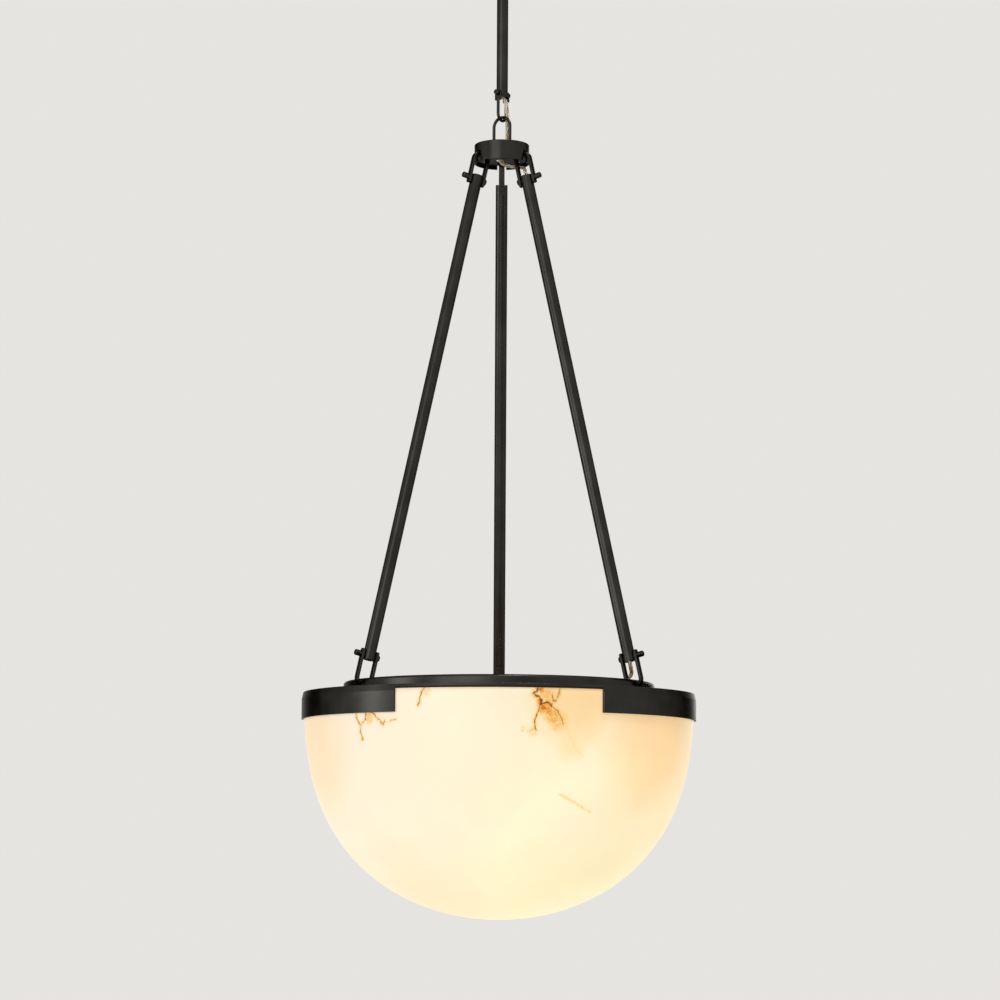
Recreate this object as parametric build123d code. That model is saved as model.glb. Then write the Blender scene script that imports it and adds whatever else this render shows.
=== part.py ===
from build123d import *
import math
import os

# Alabaster bowl pendant, millimetres. The origin is on the ceiling, in the middle of the crossbar.
# +Z is up, and the side that faces a viewer is -Y. A drop rod hangs from the ceiling fitting, a
# shackle and a bail link the rod to a small hub, and three straight arms carry a ring that holds
# the stone bowl. Each arm has a U strap at both ends: one hooks over a bar in the hub, the other
# under the rim of the ring. The mains lead runs down the rod, past the link, through the hub and
# down the front right arm to a junction box in the bowl.

# --- Ceiling fitting ------------------------------------------------------------------------------
SLOT_SPACING = 88.9
SLOT_LENGTH = 14.0
SLOT_WIDTH = 5.2
SLOT_EDGE = 4.0
CROSSBAR_WIDTH = 20.0
CROSSBAR_THICKNESS = 2.5
CROSSBAR_DROP = 16.0
CANOPY_DIAMETER = 130.0
CANOPY_HEIGHT = 32.0
CANOPY_WALL = 1.5
CANOPY_ROUNDING = 9.0
NIPPLE_DIAMETER = 10.0
NIPPLE_BORE = 7.0
NIPPLE_STAND = 1.0
LOCKNUT_ACROSS_FLATS = 15.0
LOCKNUT_HEIGHT = 4.0
COLLAR_DIAMETER = 22.0
COLLAR_HEIGHT = 12.0
TERMINAL_LENGTH = 18.0
TERMINAL_WIDTH = 16.0
TERMINAL_HEIGHT = 11.0
TERMINAL_OFFSET = 12.0
EARTH_SCREW_OFFSET = 20.0
EARTH_SCREW_DIAMETER = 4.0

# --- Drop rod and link ----------------------------------------------------------------------------
ROD_DIAMETER = 14.8
ROD_BORE = 10.4
ROD_LENGTH = 300.0
ROD_SOCKET = 16.0
SHACKLE_AZIMUTH = 55.0
SHACKLE_WIRE = 4.0
SHACKLE_EAR_THICKNESS = 2.4
SHACKLE_EAR_WIDTH = 9.0
SHACKLE_SCREW_INSET = 5.0
SHACKLE_SCREW_DIAMETER = 4.0
SHACKLE_KNOB_DIAMETER = 7.0
SHACKLE_KNOB_LENGTH = 4.5
LINK_DROP = 26.5
BAIL_WIRE = 4.0
BAIL_WIDTH = 29.2
BAIL_HEIGHT = 38.8
LINK_SEAT = 0.3

# --- Hub ------------------------------------------------------------------------------------------
HUB_DIAMETER = 71.0
HUB_HEIGHT = 24.7
HUB_WALL = 2.5
HUB_TOP_THICKNESS = 3.0
HUB_EDGE = 1.2
HUB_NOTCH_WIDTH = 11.5
HUB_NOTCH_HEIGHT = 14.0
HUB_RECESS = 5.0
HUB_PLATE_THICKNESS = 4.0
HUB_BAR_WIDTH = 6.4
HUB_BAR_ROUNDING = 2.4
HUB_WINDOW_DEPTH = 11.5
HUB_BOSS_DIAMETER = 8.0
HUB_BOSS_RADIUS = 25.0
HUB_SCREW_DIAMETER = 3.0
HUB_SCREW_LENGTH = 12.0
BAIL_NUT_ACROSS_FLATS = 7.0
BAIL_NUT_HEIGHT = 3.2
BUSHING_X = -2.0
BUSHING_Y = -4.0
BUSHING_DIAMETER = 10.0
BUSHING_LIP = 1.5
GROMMET_X = 6.9
GROMMET_Y = 1.2
GROMMET_DIAMETER = 9.6
GROMMET_LIP = 1.0
LEAD_SLEEVE_WALL = 1.3

# --- Arms and straps ------------------------------------------------------------------------------
ARM_AZIMUTHS = {"right": -30.0, "left": -150.0, "back": 90.0}
ARM_DROP = 689.0
TUBE_DIAMETER = 15.5
TUBE_BORE = 12.0
TUBE_TOP_GAP = 29.5
TUBE_BOTTOM_GAP = 30.5
STRAP_WIDTH = 7.5
STRAP_THICKNESS = 3.0
STRAP_HALF_GAP = 8.6
STRAP_CORNER = 8.2
UPPER_STRAP_SEAT = 0.7
LOWER_STRAP_SEAT = 0.95
STRAP_END_LENGTH = 7.5
STRAP_END_ROUNDING = 2.5
PIN_DIAMETER = 5.0
PIN_INSET = 5.0
PIN_TIP_RADIUS = 4.25
KNOB_DIAMETER = 7.4
KNOB_LENGTH = 8.5
KNOB_ROUNDING = 1.2
BUTTON_DIAMETER = 8.0
BUTTON_HEIGHT = 2.0
HEAD_GAP = 0.3
FERRULE_BORE = 8.4
FERRULE_LENGTH = 12.0

# --- Ring and band --------------------------------------------------------------------------------
BAND_DIAMETER = 500.0
RING_SETBACK = 52.7
RING_WALL = 5.2
RING_HEIGHT = 13.8
RING_OUTER_ROUNDING = 3.6
RING_INNER_ROUNDING = 1.0
RING_SLOT_HEIGHT = 7.0
RING_SLOT_WIDTH = 11.0
HOOK_ROUNDING = 1.5
BAND_WALL = 2.6
BAND_HEIGHT = 33.5
BAND_TAPER = 1.8
BAND_TAPER_HEIGHT = 8.0
BAND_EDGE = 1.0
TAB_SPAN = 59.5
FLANGE_THICKNESS = 3.0
FLANGE_LEDGE = 12.1
RING_SCREW_COUNT = 6
RING_SCREW_DIAMETER = 3.0
RING_SCREW_HEAD = 5.5
RING_SCREW_LENGTH = 9.0
RIM_SCREW_DIAMETER = 4.0
RIM_SCREW_HEAD = 8.0
RIM_SCREW_LENGTH = 12.0
RIM_SCREW_ANGLE = 20.0

# --- Bowl -----------------------------------------------------------------------------------------
BOWL_GAP = 0.6
BOWL_DEPTH = 278.8
BOWL_WALL = 12.0
BOWL_EQUATOR = 15.0
BOWL_POWER = 2.68
BOWL_EDGE = 1.0
BOWL_ANGLES = (12, 24, 36, 48, 60, 70, 80)
GASKET_THICKNESS = 2.0
GASKET_WIDTH = 10.4
INSERT_DIAMETER = 6.4
INSERT_LENGTH = 10.0

# --- Lamp gear in the bowl ------------------------------------------------------------------------
SPOKE_AZIMUTHS = (310.0, 190.0, 70.0)
SPOKE_WIDTH = 22.0
SPOKE_THICKNESS = 2.5
SPOKE_LAP = 12.0
SPIDER_DISC_DIAMETER = 72.0
SPIDER_SCREW_DIAMETER = 4.0
SPIDER_SCREW_HEAD = 7.0
SPIDER_SCREW_HEAD_HEIGHT = 2.4
SPIDER_SCREW_INSET = 6.5
LAMP_RADIUS = 95.0
HOLDER_DIAMETER = 28.0
HOLDER_LENGTH = 42.0
HOLDER_CAP = 14.5
HOLDER_SHOULDER = 6.5
LAMP_BASE_DIAMETER = 13.8
LAMP_BASE_GAP = 0.7
LAMP_BASE_LENGTH = 25.0
LAMP_GLOBE_DIAMETER = 45.0
LAMP_NECK_DIAMETER = 24.0
LAMP_LENGTH = 81.0
HOLDER_NIPPLE_LENGTH = 19.0
HOLDER_NIPPLE_RISE = 7.0
HOLDER_NUT_ACROSS_FLATS = 14.0
HOLDER_NUT_HEIGHT = 3.5
BOX_DIAMETER = 56.0
BOX_HEIGHT = 18.0
BOX_WALL = 2.0
LID_THICKNESS = 2.0
BLOCK_LENGTH = 24.0
BLOCK_WIDTH = 16.0
BLOCK_HEIGHT = 10.0
GLAND_DIAMETER = 10.0
GLAND_LENGTH = 10.0
GLAND_HEIGHT = 8.0
WIRE_DIAMETER = 3.0
WIRE_HEIGHT = 12.0
WIRE_RISE = 8.0
WIRE_LEVEL_RUN = 20.0
WIRE_LIFT_RADIUS = 60.0
WIRE_CREST_RADIUS = 6.5

# --- Mains lead -----------------------------------------------------------------------------------
LEAD_DIAMETER = 5.0
LEAD_TUCK = 15.0
LEAD_FLANGE_GAP = 24.0
LEAD_GLAND_RUN = 18.0
LEAD_SAG = 10.5

FIT = 0.05
RUNNING_FIT = 0.08
OVERCUT = 1.0

# --- Levels, from the ceiling down ----------------------------------------------------------------
BAR_TOP = -CROSSBAR_DROP
BAR_BOTTOM = BAR_TOP - CROSSBAR_THICKNESS
ROD_TOP = -CANOPY_HEIGHT - COLLAR_HEIGHT
ROD_END = ROD_TOP - ROD_LENGTH
SHACKLE_SCREW_Z = ROD_END + SHACKLE_SCREW_INSET
LINK_Z = ROD_END - LINK_DROP
HUB_TOP = LINK_Z + BAIL_WIRE / 2 - BAIL_HEIGHT
HUB_BOTTOM = HUB_TOP - HUB_HEIGHT
PLATE_BOTTOM = HUB_BOTTOM + HUB_RECESS
PLATE_TOP = PLATE_BOTTOM + HUB_PLATE_THICKNESS
RING_HOOK_Z = PLATE_TOP - ARM_DROP
BAND_TOP = RING_HOOK_Z - RING_SLOT_HEIGHT
FLANGE_BOTTOM = BAND_TOP - FLANGE_THICKNESS
BOWL_RIM = FLANGE_BOTTOM - GASKET_THICKNESS
SPOKE_BOTTOM = FLANGE_BOTTOM - SPOKE_THICKNESS

# --- Radii and angles that follow from the sizes above ----------------------------------------------
HUB_INSIDE = HUB_DIAMETER / 2 - HUB_WALL
HUB_HOOK_RADIUS = HUB_INSIDE - HUB_BAR_WIDTH / 2
RING_RADIUS = BAND_DIAMETER / 2 - RING_SETBACK
RING_HOOK_RADIUS = RING_RADIUS - RING_WALL / 2
FLANGE_BORE = RING_RADIUS - RING_WALL - FLANGE_LEDGE
ARM_LENGTH = math.hypot(RING_HOOK_RADIUS - HUB_HOOK_RADIUS, ARM_DROP)
ARM_TILT = math.degrees(math.atan2(RING_HOOK_RADIUS - HUB_HOOK_RADIUS, ARM_DROP))
BAND_INSIDE = BAND_DIAMETER / 2 - BAND_WALL
BOWL_RADIUS = BAND_INSIDE - BOWL_GAP
RIM_SCREW_RADIUS = BOWL_RADIUS - BOWL_WALL / 2
SPOKE_REACH = FLANGE_BORE + SPOKE_LAP
SPIDER_SCREW_RADIUS = FLANGE_BORE + SPIDER_SCREW_INSET
BAIL_RADIUS = (BAIL_WIDTH - BAIL_WIRE) / 2
SHACKLE_RADIUS = ROD_DIAMETER / 2 + HEAD_GAP + SHACKLE_EAR_THICKNESS / 2
PIN_TOP_Z = -TUBE_TOP_GAP - PIN_INSET
PIN_BOTTOM_Z = -ARM_LENGTH + TUBE_BOTTOM_GAP + PIN_INSET
LEAD_HOLE = LEAD_DIAMETER / 2 + 2 * RUNNING_FIT


def sleeve(outer, inner, bottom, top):
    """A round ring or disc on the Z axis, from its two radii and two levels."""
    profile = Circle(outer)
    if inner > 0:
        profile -= Circle(inner)
    return extrude(Pos(0, 0, bottom) * profile, amount=top - bottom)


def turned(points):
    """A solid turned on the Z axis from a closed outline of (radius, z) points."""
    outline = make_face(Plane.XZ * Polyline(*points, close=True))
    return revolve(outline, axis=Axis.Z)


def hexagon_nut(across_flats, bore, bottom, height):
    profile = RegularPolygon(across_flats / 2, 6, major_radius=False) - Circle(bore)
    return extrude(Pos(0, 0, bottom) * profile, amount=height)


def countersunk(shank, head, length, grow=0.0):
    """A flat-topped screw, or with grow its hole, head up with its face at z = 0."""
    r, top = shank / 2 + grow, head / 2 + grow
    cone = top - r
    return turned([(0, 0), (top, 0), (r, -cone), (r, -length), (0, -length)])


def around(shape, azimuth, radius=0.0):
    """The shape moved out along X and then turned about the lamp's axis."""
    return Rot(0, 0, azimuth) * Pos(radius, 0, 0) * shape


def even_azimuths(count, start=0.0):
    return [start + 360 * i / count for i in range(count)]


def save(name, *solids):
    shape = solids[0] if len(solids) == 1 else Compound(children=list(solids))
    export_step(shape, f"parts/{name}.step")


def bend_lengths(points, radii):
    """How far each bend reaches along the runs beside it."""
    reaches = []
    for before, here, after, radius in zip(points, points[1:], points[2:], radii):
        turn = (Vector(here) - Vector(before)).get_angle(Vector(after) - Vector(here))
        reaches.append(radius * math.tan(math.radians(turn) / 2))
    return reaches


def lead_tube(name, points, radii, diameter=LEAD_DIAMETER):
    """A round lead: straight runs joined by tangent arcs, its bends printed with their reach."""
    path = FilletPolyline(*points, radius=radii)
    section = Plane(origin=path @ 0, z_dir=path % 0) * Circle(diameter / 2)
    tube = sweep(section, path=path)
    expected = math.pi * diameter ** 2 / 4 * path.length
    print(name, "length", round(path.length, 1), "radii", radii,
          "reach", [round(reach, 1) for reach in bend_lengths(points, radii)],
          "volume ratio", round(tube.volume / expected, 4))
    return tube


# --- Ceiling fitting ------------------------------------------------------------------------------

def crossbar():
    """A hat-shaped bar: two slotted ears on the ceiling and a lowered middle for the nipple."""
    t = CROSSBAR_THICKNESS
    leg = SLOT_SPACING / 2 - SLOT_LENGTH / 2 - SLOT_EDGE - t
    end = SLOT_SPACING / 2 + SLOT_LENGTH / 2 + SLOT_EDGE
    top = [(-end, 0), (-leg, 0), (-leg, BAR_TOP), (leg, BAR_TOP), (leg, 0), (end, 0)]
    under = [(end, -t), (leg + t, -t), (leg + t, BAR_BOTTOM),
             (-leg - t, BAR_BOTTOM), (-leg - t, -t), (-end, -t)]
    outline = make_face(Plane.XZ * Polyline(*top, *under, close=True))
    bar = extrude(outline, amount=CROSSBAR_WIDTH / 2, both=True)
    slot = extrude(SlotOverall(SLOT_LENGTH, SLOT_WIDTH), amount=t + OVERCUT, both=True)
    for x in (-SLOT_SPACING / 2, SLOT_SPACING / 2):
        bar -= Pos(x, 0, 0) * slot
    bar -= sleeve(NIPPLE_DIAMETER / 2 + FIT, 0, BAR_BOTTOM - OVERCUT, BAR_TOP + OVERCUT)
    bar -= Pos(-EARTH_SCREW_OFFSET, 0, 0) * sleeve(
        EARTH_SCREW_DIAMETER / 2 + FIT, 0, BAR_BOTTOM - OVERCUT, BAR_TOP + OVERCUT)
    return bar


def canopy():
    outside = sleeve(CANOPY_DIAMETER / 2, 0, -CANOPY_HEIGHT, 0)
    outside = fillet(outside.edges().group_by(Axis.Z)[0], CANOPY_ROUNDING)
    inside = sleeve(CANOPY_DIAMETER / 2 - CANOPY_WALL, 0, CANOPY_WALL - CANOPY_HEIGHT, OVERCUT)
    inside = fillet(inside.edges().group_by(Axis.Z)[0], CANOPY_ROUNDING - CANOPY_WALL)
    hole = sleeve(NIPPLE_DIAMETER / 2 + HEAD_GAP, 0, -CANOPY_HEIGHT - OVERCUT, 0)
    return outside - inside - hole


def canopy_nipple():
    return sleeve(NIPPLE_DIAMETER / 2, NIPPLE_BORE / 2, ROD_TOP - ROD_SOCKET, BAR_TOP + NIPPLE_STAND)


def canopy_collar():
    collar = sleeve(COLLAR_DIAMETER / 2, NIPPLE_DIAMETER / 2 + FIT, ROD_TOP, -CANOPY_HEIGHT)
    lower_rim = collar.edges().group_by(Axis.Z)[0].sort_by(SortBy.LENGTH)[-1]
    return fillet(lower_rim, COLLAR_DIAMETER / 2 - ROD_DIAMETER / 2 - FIT)


def terminal_block():
    block = Pos(TERMINAL_OFFSET + TERMINAL_LENGTH / 2, 0, BAR_TOP + TERMINAL_HEIGHT / 2) * Box(
        TERMINAL_LENGTH, TERMINAL_WIDTH, TERMINAL_HEIGHT)
    well = sleeve(TERMINAL_WIDTH / 8, 0, BAR_TOP + TERMINAL_HEIGHT / 2, OVERCUT)
    for y in (-TERMINAL_WIDTH / 3, 0, TERMINAL_WIDTH / 3):
        block -= Pos(TERMINAL_OFFSET + TERMINAL_LENGTH * 0.7, y, 0) * well
    return block


def earth_screw():
    head = sleeve(EARTH_SCREW_DIAMETER, 0, BAR_TOP, BAR_TOP + EARTH_SCREW_DIAMETER * 0.6)
    shank = sleeve(EARTH_SCREW_DIAMETER / 2, 0, BAR_BOTTOM - EARTH_SCREW_DIAMETER, BAR_TOP)
    return Pos(-EARTH_SCREW_OFFSET, 0, 0) * (head + shank)


# --- Drop rod, shackle and bail -------------------------------------------------------------------

def cross_hole(diameter, z, azimuth=0.0):
    """A drill through both walls of a tube, square to its axis."""
    drill = Rot(0, 90, 0) * Cylinder(diameter / 2, COLLAR_DIAMETER * 2)
    return Rot(0, 0, azimuth) * Pos(0, 0, z) * drill


def drop_rod():
    rod = sleeve(ROD_DIAMETER / 2, ROD_BORE / 2, ROD_END, ROD_TOP)
    return rod - cross_hole(SHACKLE_SCREW_DIAMETER + 2 * FIT, SHACKLE_SCREW_Z, SHACKLE_AZIMUTH)


def shackle_screw(side):
    """A short knob screw in the rod's wall: it stops at the bore, so that the lead passes."""
    ear_face = SHACKLE_RADIUS + SHACKLE_EAR_THICKNESS / 2 + HEAD_GAP
    shank = sleeve(SHACKLE_SCREW_DIAMETER / 2, 0, ROD_BORE / 2 + RUNNING_FIT, ear_face)
    knob = sleeve(SHACKLE_KNOB_DIAMETER / 2, 0, ear_face, ear_face + SHACKLE_KNOB_LENGTH)
    knob = fillet(knob.edges().group_by(Axis.Z)[-1], KNOB_ROUNDING)
    return Rot(0, 0, SHACKLE_AZIMUTH) * Pos(0, 0, SHACKLE_SCREW_Z) * Rot(0, 90 * side, 0) * (shank + knob)


def bent_wire(diameter, half_width, bend_z, end_z):
    """A round wire bent to a U in the XZ plane, its bend at bend_z and both ends at end_z."""
    up = math.copysign(1, end_z - bend_z)
    centre = bend_z + up * half_width
    leg = Line((-half_width, 0, end_z), (-half_width, 0, centre))
    bend = ThreePointArc((-half_width, 0, centre), (0, 0, bend_z), (half_width, 0, centre))
    path = leg + bend + Line((half_width, 0, centre), (half_width, 0, end_z))
    section = Pos(-half_width, 0, end_z) * Circle(diameter / 2)
    return sweep(section, path=Wire(path.edges()))


def top_shackle():
    """A wire loop under the rod, its two ends flattened to ears that turn on the knob screws."""
    neck = ROD_END - OVERCUT
    bottom = LINK_Z - (BAIL_WIRE + SHACKLE_WIRE) / 2 - LINK_SEAT
    loop = bent_wire(SHACKLE_WIRE, SHACKLE_RADIUS, bottom, neck - SHACKLE_WIRE / 2)
    height = SHACKLE_SCREW_Z - neck + SHACKLE_WIRE
    blank = Rectangle(SHACKLE_EAR_WIDTH, height) + Pos(0, height / 2) * Circle(SHACKLE_EAR_WIDTH / 2)
    ear = extrude(Plane.YZ * blank, amount=SHACKLE_EAR_THICKNESS / 2, both=True)
    for side in (-1, 1):
        loop += Pos(side * SHACKLE_RADIUS, 0, SHACKLE_SCREW_Z - height / 2) * ear
    loop -= cross_hole(SHACKLE_SCREW_DIAMETER + 2 * RUNNING_FIT, SHACKLE_SCREW_Z)
    return Rot(0, 0, SHACKLE_AZIMUTH) * loop


def bail_frame(shape):
    """The bail stands square to the shackle, as two links of a chain do."""
    return Rot(0, 0, SHACKLE_AZIMUTH - 90) * shape


def hub_bail():
    foot = HUB_TOP - HUB_TOP_THICKNESS - BAIL_NUT_HEIGHT - OVERCUT
    return bail_frame(bent_wire(BAIL_WIRE, BAIL_RADIUS, LINK_Z, foot))


def bail_nuts():
    nut = hexagon_nut(BAIL_NUT_ACROSS_FLATS, BAIL_WIRE / 2 + FIT,
                      HUB_TOP - HUB_TOP_THICKNESS - BAIL_NUT_HEIGHT, BAIL_NUT_HEIGHT)
    return [bail_frame(Pos(side * BAIL_RADIUS, 0, 0) * nut) for side in (-1, 1)]


# --- Hub ------------------------------------------------------------------------------------------

def hub_boss_azimuths():
    return [azimuth + 60 for azimuth in ARM_AZIMUTHS.values()]


def hub_cup():
    """An inverted cup with a notch for each strap and three bosses for the plate's screws."""
    cup = sleeve(HUB_DIAMETER / 2, 0, HUB_BOTTOM, HUB_TOP)
    cup = fillet(cup.edges().group_by(Axis.Z)[-1], HUB_EDGE)
    cup -= sleeve(HUB_INSIDE, 0, HUB_BOTTOM - OVERCUT, HUB_TOP - HUB_TOP_THICKNESS)
    notch = Pos(HUB_INSIDE, 0, HUB_BOTTOM) * Box(
        HUB_DIAMETER / 4, HUB_NOTCH_WIDTH, 2 * HUB_NOTCH_HEIGHT)
    boss = sleeve(HUB_BOSS_DIAMETER / 2, HUB_SCREW_DIAMETER / 2 + FIT, PLATE_TOP, HUB_TOP - HUB_TOP_THICKNESS)
    for azimuth in ARM_AZIMUTHS.values():
        cup -= around(notch, azimuth)
    for azimuth in hub_boss_azimuths():
        cup += around(boss, azimuth, HUB_BOSS_RADIUS)
    leg_hole = sleeve(BAIL_WIRE / 2 + FIT, 0, HUB_TOP - HUB_TOP_THICKNESS - OVERCUT, HUB_TOP + OVERCUT)
    for side in (-1, 1):
        cup -= bail_frame(Pos(side * BAIL_RADIUS, 0, 0) * leg_hole)
    cup -= Pos(GROMMET_X, GROMMET_Y, 0) * sleeve(
        LEAD_HOLE + LEAD_SLEEVE_WALL + FIT, 0, HUB_TOP - HUB_TOP_THICKNESS - OVERCUT, HUB_TOP + OVERCUT)
    return cup


def edges_at(shape, z, radius):
    """The edges whose middle lies at one level and at one distance from the lamp's axis."""
    middles = [(edge, edge.position_at(0.5)) for edge in shape.edges()]
    return [edge for edge, p in middles
            if abs(p.Z - z) < FIT and abs(math.hypot(p.X, p.Y) - radius) < FIT]


def hub_plate():
    """The plate set up inside the hub. Outside each window its rim is the bar that a strap hooks over."""
    rim = HUB_INSIDE - FIT
    plate = sleeve(rim, 0, PLATE_BOTTOM, PLATE_TOP)
    bar_inside = HUB_INSIDE - HUB_BAR_WIDTH
    window = Pos(bar_inside - HUB_WINDOW_DEPTH / 2, 0, PLATE_BOTTOM) * Box(
        HUB_WINDOW_DEPTH, HUB_NOTCH_WIDTH, 3 * HUB_PLATE_THICKNESS)
    for azimuth in ARM_AZIMUTHS.values():
        plate -= around(window, azimuth)
    plate = fillet(edges_at(plate, PLATE_TOP, bar_inside) + edges_at(plate, PLATE_TOP, rim), HUB_BAR_ROUNDING)
    screw = Pos(0, 0, PLATE_BOTTOM) * Rot(180, 0, 0) * countersunk(
        HUB_SCREW_DIAMETER, 2 * HUB_SCREW_DIAMETER, 3 * HUB_SCREW_LENGTH, FIT)
    for azimuth in hub_boss_azimuths():
        plate -= around(screw, azimuth, HUB_BOSS_RADIUS)
    return plate - Pos(BUSHING_X, BUSHING_Y, 0) * sleeve(
        LEAD_HOLE + LEAD_SLEEVE_WALL + FIT, 0, PLATE_BOTTOM - OVERCUT, PLATE_TOP + OVERCUT)


def hub_plate_screws():
    screw = Pos(0, 0, PLATE_BOTTOM) * Rot(180, 0, 0) * countersunk(
        HUB_SCREW_DIAMETER, 2 * HUB_SCREW_DIAMETER, HUB_SCREW_LENGTH)
    return [around(screw, azimuth, HUB_BOSS_RADIUS) for azimuth in hub_boss_azimuths()]


def cord_bushing():
    """The plated bushing in the hub's plate: the lead leaves the hub through it."""
    body = sleeve(LEAD_HOLE + LEAD_SLEEVE_WALL, LEAD_HOLE, PLATE_BOTTOM, PLATE_TOP)
    lip = sleeve(BUSHING_DIAMETER / 2, LEAD_HOLE, PLATE_BOTTOM - BUSHING_LIP, PLATE_BOTTOM)
    return Pos(BUSHING_X, BUSHING_Y, 0) * (body + lip)


def cord_grommet():
    body = sleeve(LEAD_HOLE + LEAD_SLEEVE_WALL, LEAD_HOLE, HUB_TOP - HUB_TOP_THICKNESS, HUB_TOP)
    lip = sleeve(GROMMET_DIAMETER / 2, LEAD_HOLE, HUB_TOP, HUB_TOP + GROMMET_LIP)
    return Pos(GROMMET_X, GROMMET_Y, 0) * (body + lip)


# --- Arms and straps: drawn on an arm's own axes, then placed --------------------------------------
# Their z axis runs up the arm from the point where the upper strap hooks over the hub's bar, and
# their x axis points away from the lamp's axis.

def on_arm(shape, azimuth):
    tilt = math.radians(ARM_TILT)
    arm = Plane(origin=(HUB_HOOK_RADIUS, 0, PLATE_TOP), x_dir=(math.cos(tilt), 0, math.sin(tilt)),
                z_dir=(-math.sin(tilt), 0, math.cos(tilt)))
    return Rot(0, 0, azimuth) * arm.location * shape


def from_arm(x, y, z, azimuth):
    """A point of an arm's own axes, in the lamp's frame."""
    return tuple(on_arm(Vertex(x, y, z), azimuth).center())


def strap(seat, pin_depth):
    """A U strap, closed end up at z = seat, with an eye in each leg at the pin's depth."""
    corner = STRAP_CORNER
    depth = pin_depth + STRAP_END_LENGTH
    top = seat + STRAP_THICKNESS
    outer_half = STRAP_HALF_GAP + STRAP_THICKNESS

    def arch(half, crown, radius):
        blank = Pos(0, (crown - depth) / 2) * Rectangle(2 * half, crown + depth)
        return fillet(blank.vertices().group_by(Axis.Y)[-1], radius)

    inner = arch(STRAP_HALF_GAP, seat, corner)
    inner += Pos(0, -depth) * Rectangle(2 * STRAP_HALF_GAP, 2 * STRAP_END_LENGTH)
    band = extrude(Plane.XZ * (arch(outer_half, top, corner + STRAP_THICKNESS) - inner),
                   amount=STRAP_WIDTH / 2, both=True)
    side = Pos(0, (top - depth) / 2) * Rectangle(STRAP_WIDTH, top + depth)
    side = fillet(side.vertices().group_by(Axis.Y)[0], STRAP_END_ROUNDING)
    band &= extrude(Plane.YZ * side, amount=outer_half + OVERCUT, both=True)
    return band - cross_hole(PIN_DIAMETER + 2 * RUNNING_FIT, -pin_depth)


def upper_strap(azimuth):
    return on_arm(strap(UPPER_STRAP_SEAT, -PIN_TOP_Z), azimuth)


def lower_strap(azimuth):
    turned_over = Pos(0, 0, -ARM_LENGTH) * Rot(180, 0, 0)
    return on_arm(turned_over * strap(LOWER_STRAP_SEAT, ARM_LENGTH + PIN_BOTTOM_Z), azimuth)


def drilled_on_arm(shape):
    for z in (PIN_TOP_Z, PIN_BOTTOM_Z):
        shape -= cross_hole(PIN_DIAMETER + 2 * FIT, z)
    return shape


def arm_tube(azimuth):
    tube = sleeve(TUBE_DIAMETER / 2, TUBE_BORE / 2, -ARM_LENGTH + TUBE_BOTTOM_GAP, -TUBE_TOP_GAP)
    return on_arm(drilled_on_arm(tube), azimuth)


def arm_ferrules(azimuth):
    """Threaded rings inside the tube's ends, which the short pins screw into."""
    outer = TUBE_BORE / 2 - FIT
    upper = sleeve(outer, FERRULE_BORE / 2, -TUBE_TOP_GAP - FERRULE_LENGTH, -TUBE_TOP_GAP - FIT)
    foot = -ARM_LENGTH + TUBE_BOTTOM_GAP
    lower = sleeve(outer, FERRULE_BORE / 2, foot + FIT, foot + FERRULE_LENGTH)
    return [on_arm(drilled_on_arm(ferrule), azimuth) for ferrule in (upper, lower)]


def arm_pins(azimuth, side, head_diameter, head_length, rounding):
    """Short pins through one leg of each strap: knobs outside, low buttons inside."""
    seat = STRAP_HALF_GAP + STRAP_THICKNESS + HEAD_GAP
    head = sleeve(head_diameter / 2, 0, seat, seat + head_length)
    head = fillet(head.edges().group_by(Axis.Z)[-1], rounding)
    pin = sleeve(PIN_DIAMETER / 2, 0, PIN_TIP_RADIUS, seat) + head
    return [on_arm(Pos(0, 0, z) * Rot(0, 90 * side, 0) * pin, azimuth)
            for z in (PIN_TOP_Z, PIN_BOTTOM_Z)]


# --- Ring, band and bowl --------------------------------------------------------------------------

def hanging_ring():
    """The upstand that the lower straps hook under, through a slot below its rolled rim."""
    ring = sleeve(RING_RADIUS, RING_RADIUS - RING_WALL, BAND_TOP, BAND_TOP + RING_HEIGHT)
    inner_rim, outer_rim = ring.edges().group_by(Axis.Z)[-1].sort_by(SortBy.LENGTH)
    ring = fillet(outer_rim, RING_OUTER_ROUNDING)
    ring = fillet(edges_at(ring, BAND_TOP + RING_HEIGHT, RING_RADIUS - RING_WALL), RING_INNER_ROUNDING)
    slot = Pos(RING_HOOK_RADIUS, 0, BAND_TOP) * Box(4 * RING_WALL, RING_SLOT_WIDTH, 2 * RING_SLOT_HEIGHT)
    for azimuth in ARM_AZIMUTHS.values():
        ring -= around(slot, azimuth)
    ring = fillet(edges_at(ring, RING_HOOK_Z, RING_RADIUS)
                  + edges_at(ring, RING_HOOK_Z, RING_RADIUS - RING_WALL), HOOK_ROUNDING)
    for screw in ring_screws(FIT):
        ring -= screw
    return ring


def ring_screws(grow=0.0):
    """Countersunk screws, or with grow their holes, from under the flange into the ring's wall."""
    screw = Pos(0, 0, FLANGE_BOTTOM) * Rot(180, 0, 0) * countersunk(
        RING_SCREW_DIAMETER, RING_SCREW_HEAD, RING_SCREW_LENGTH, grow)
    return [around(screw, azimuth, RING_HOOK_RADIUS) for azimuth in even_azimuths(RING_SCREW_COUNT)]


def rim_screw_azimuths():
    return [azimuth + side * RIM_SCREW_ANGLE for azimuth in ARM_AZIMUTHS.values() for side in (-1, 1)]


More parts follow.
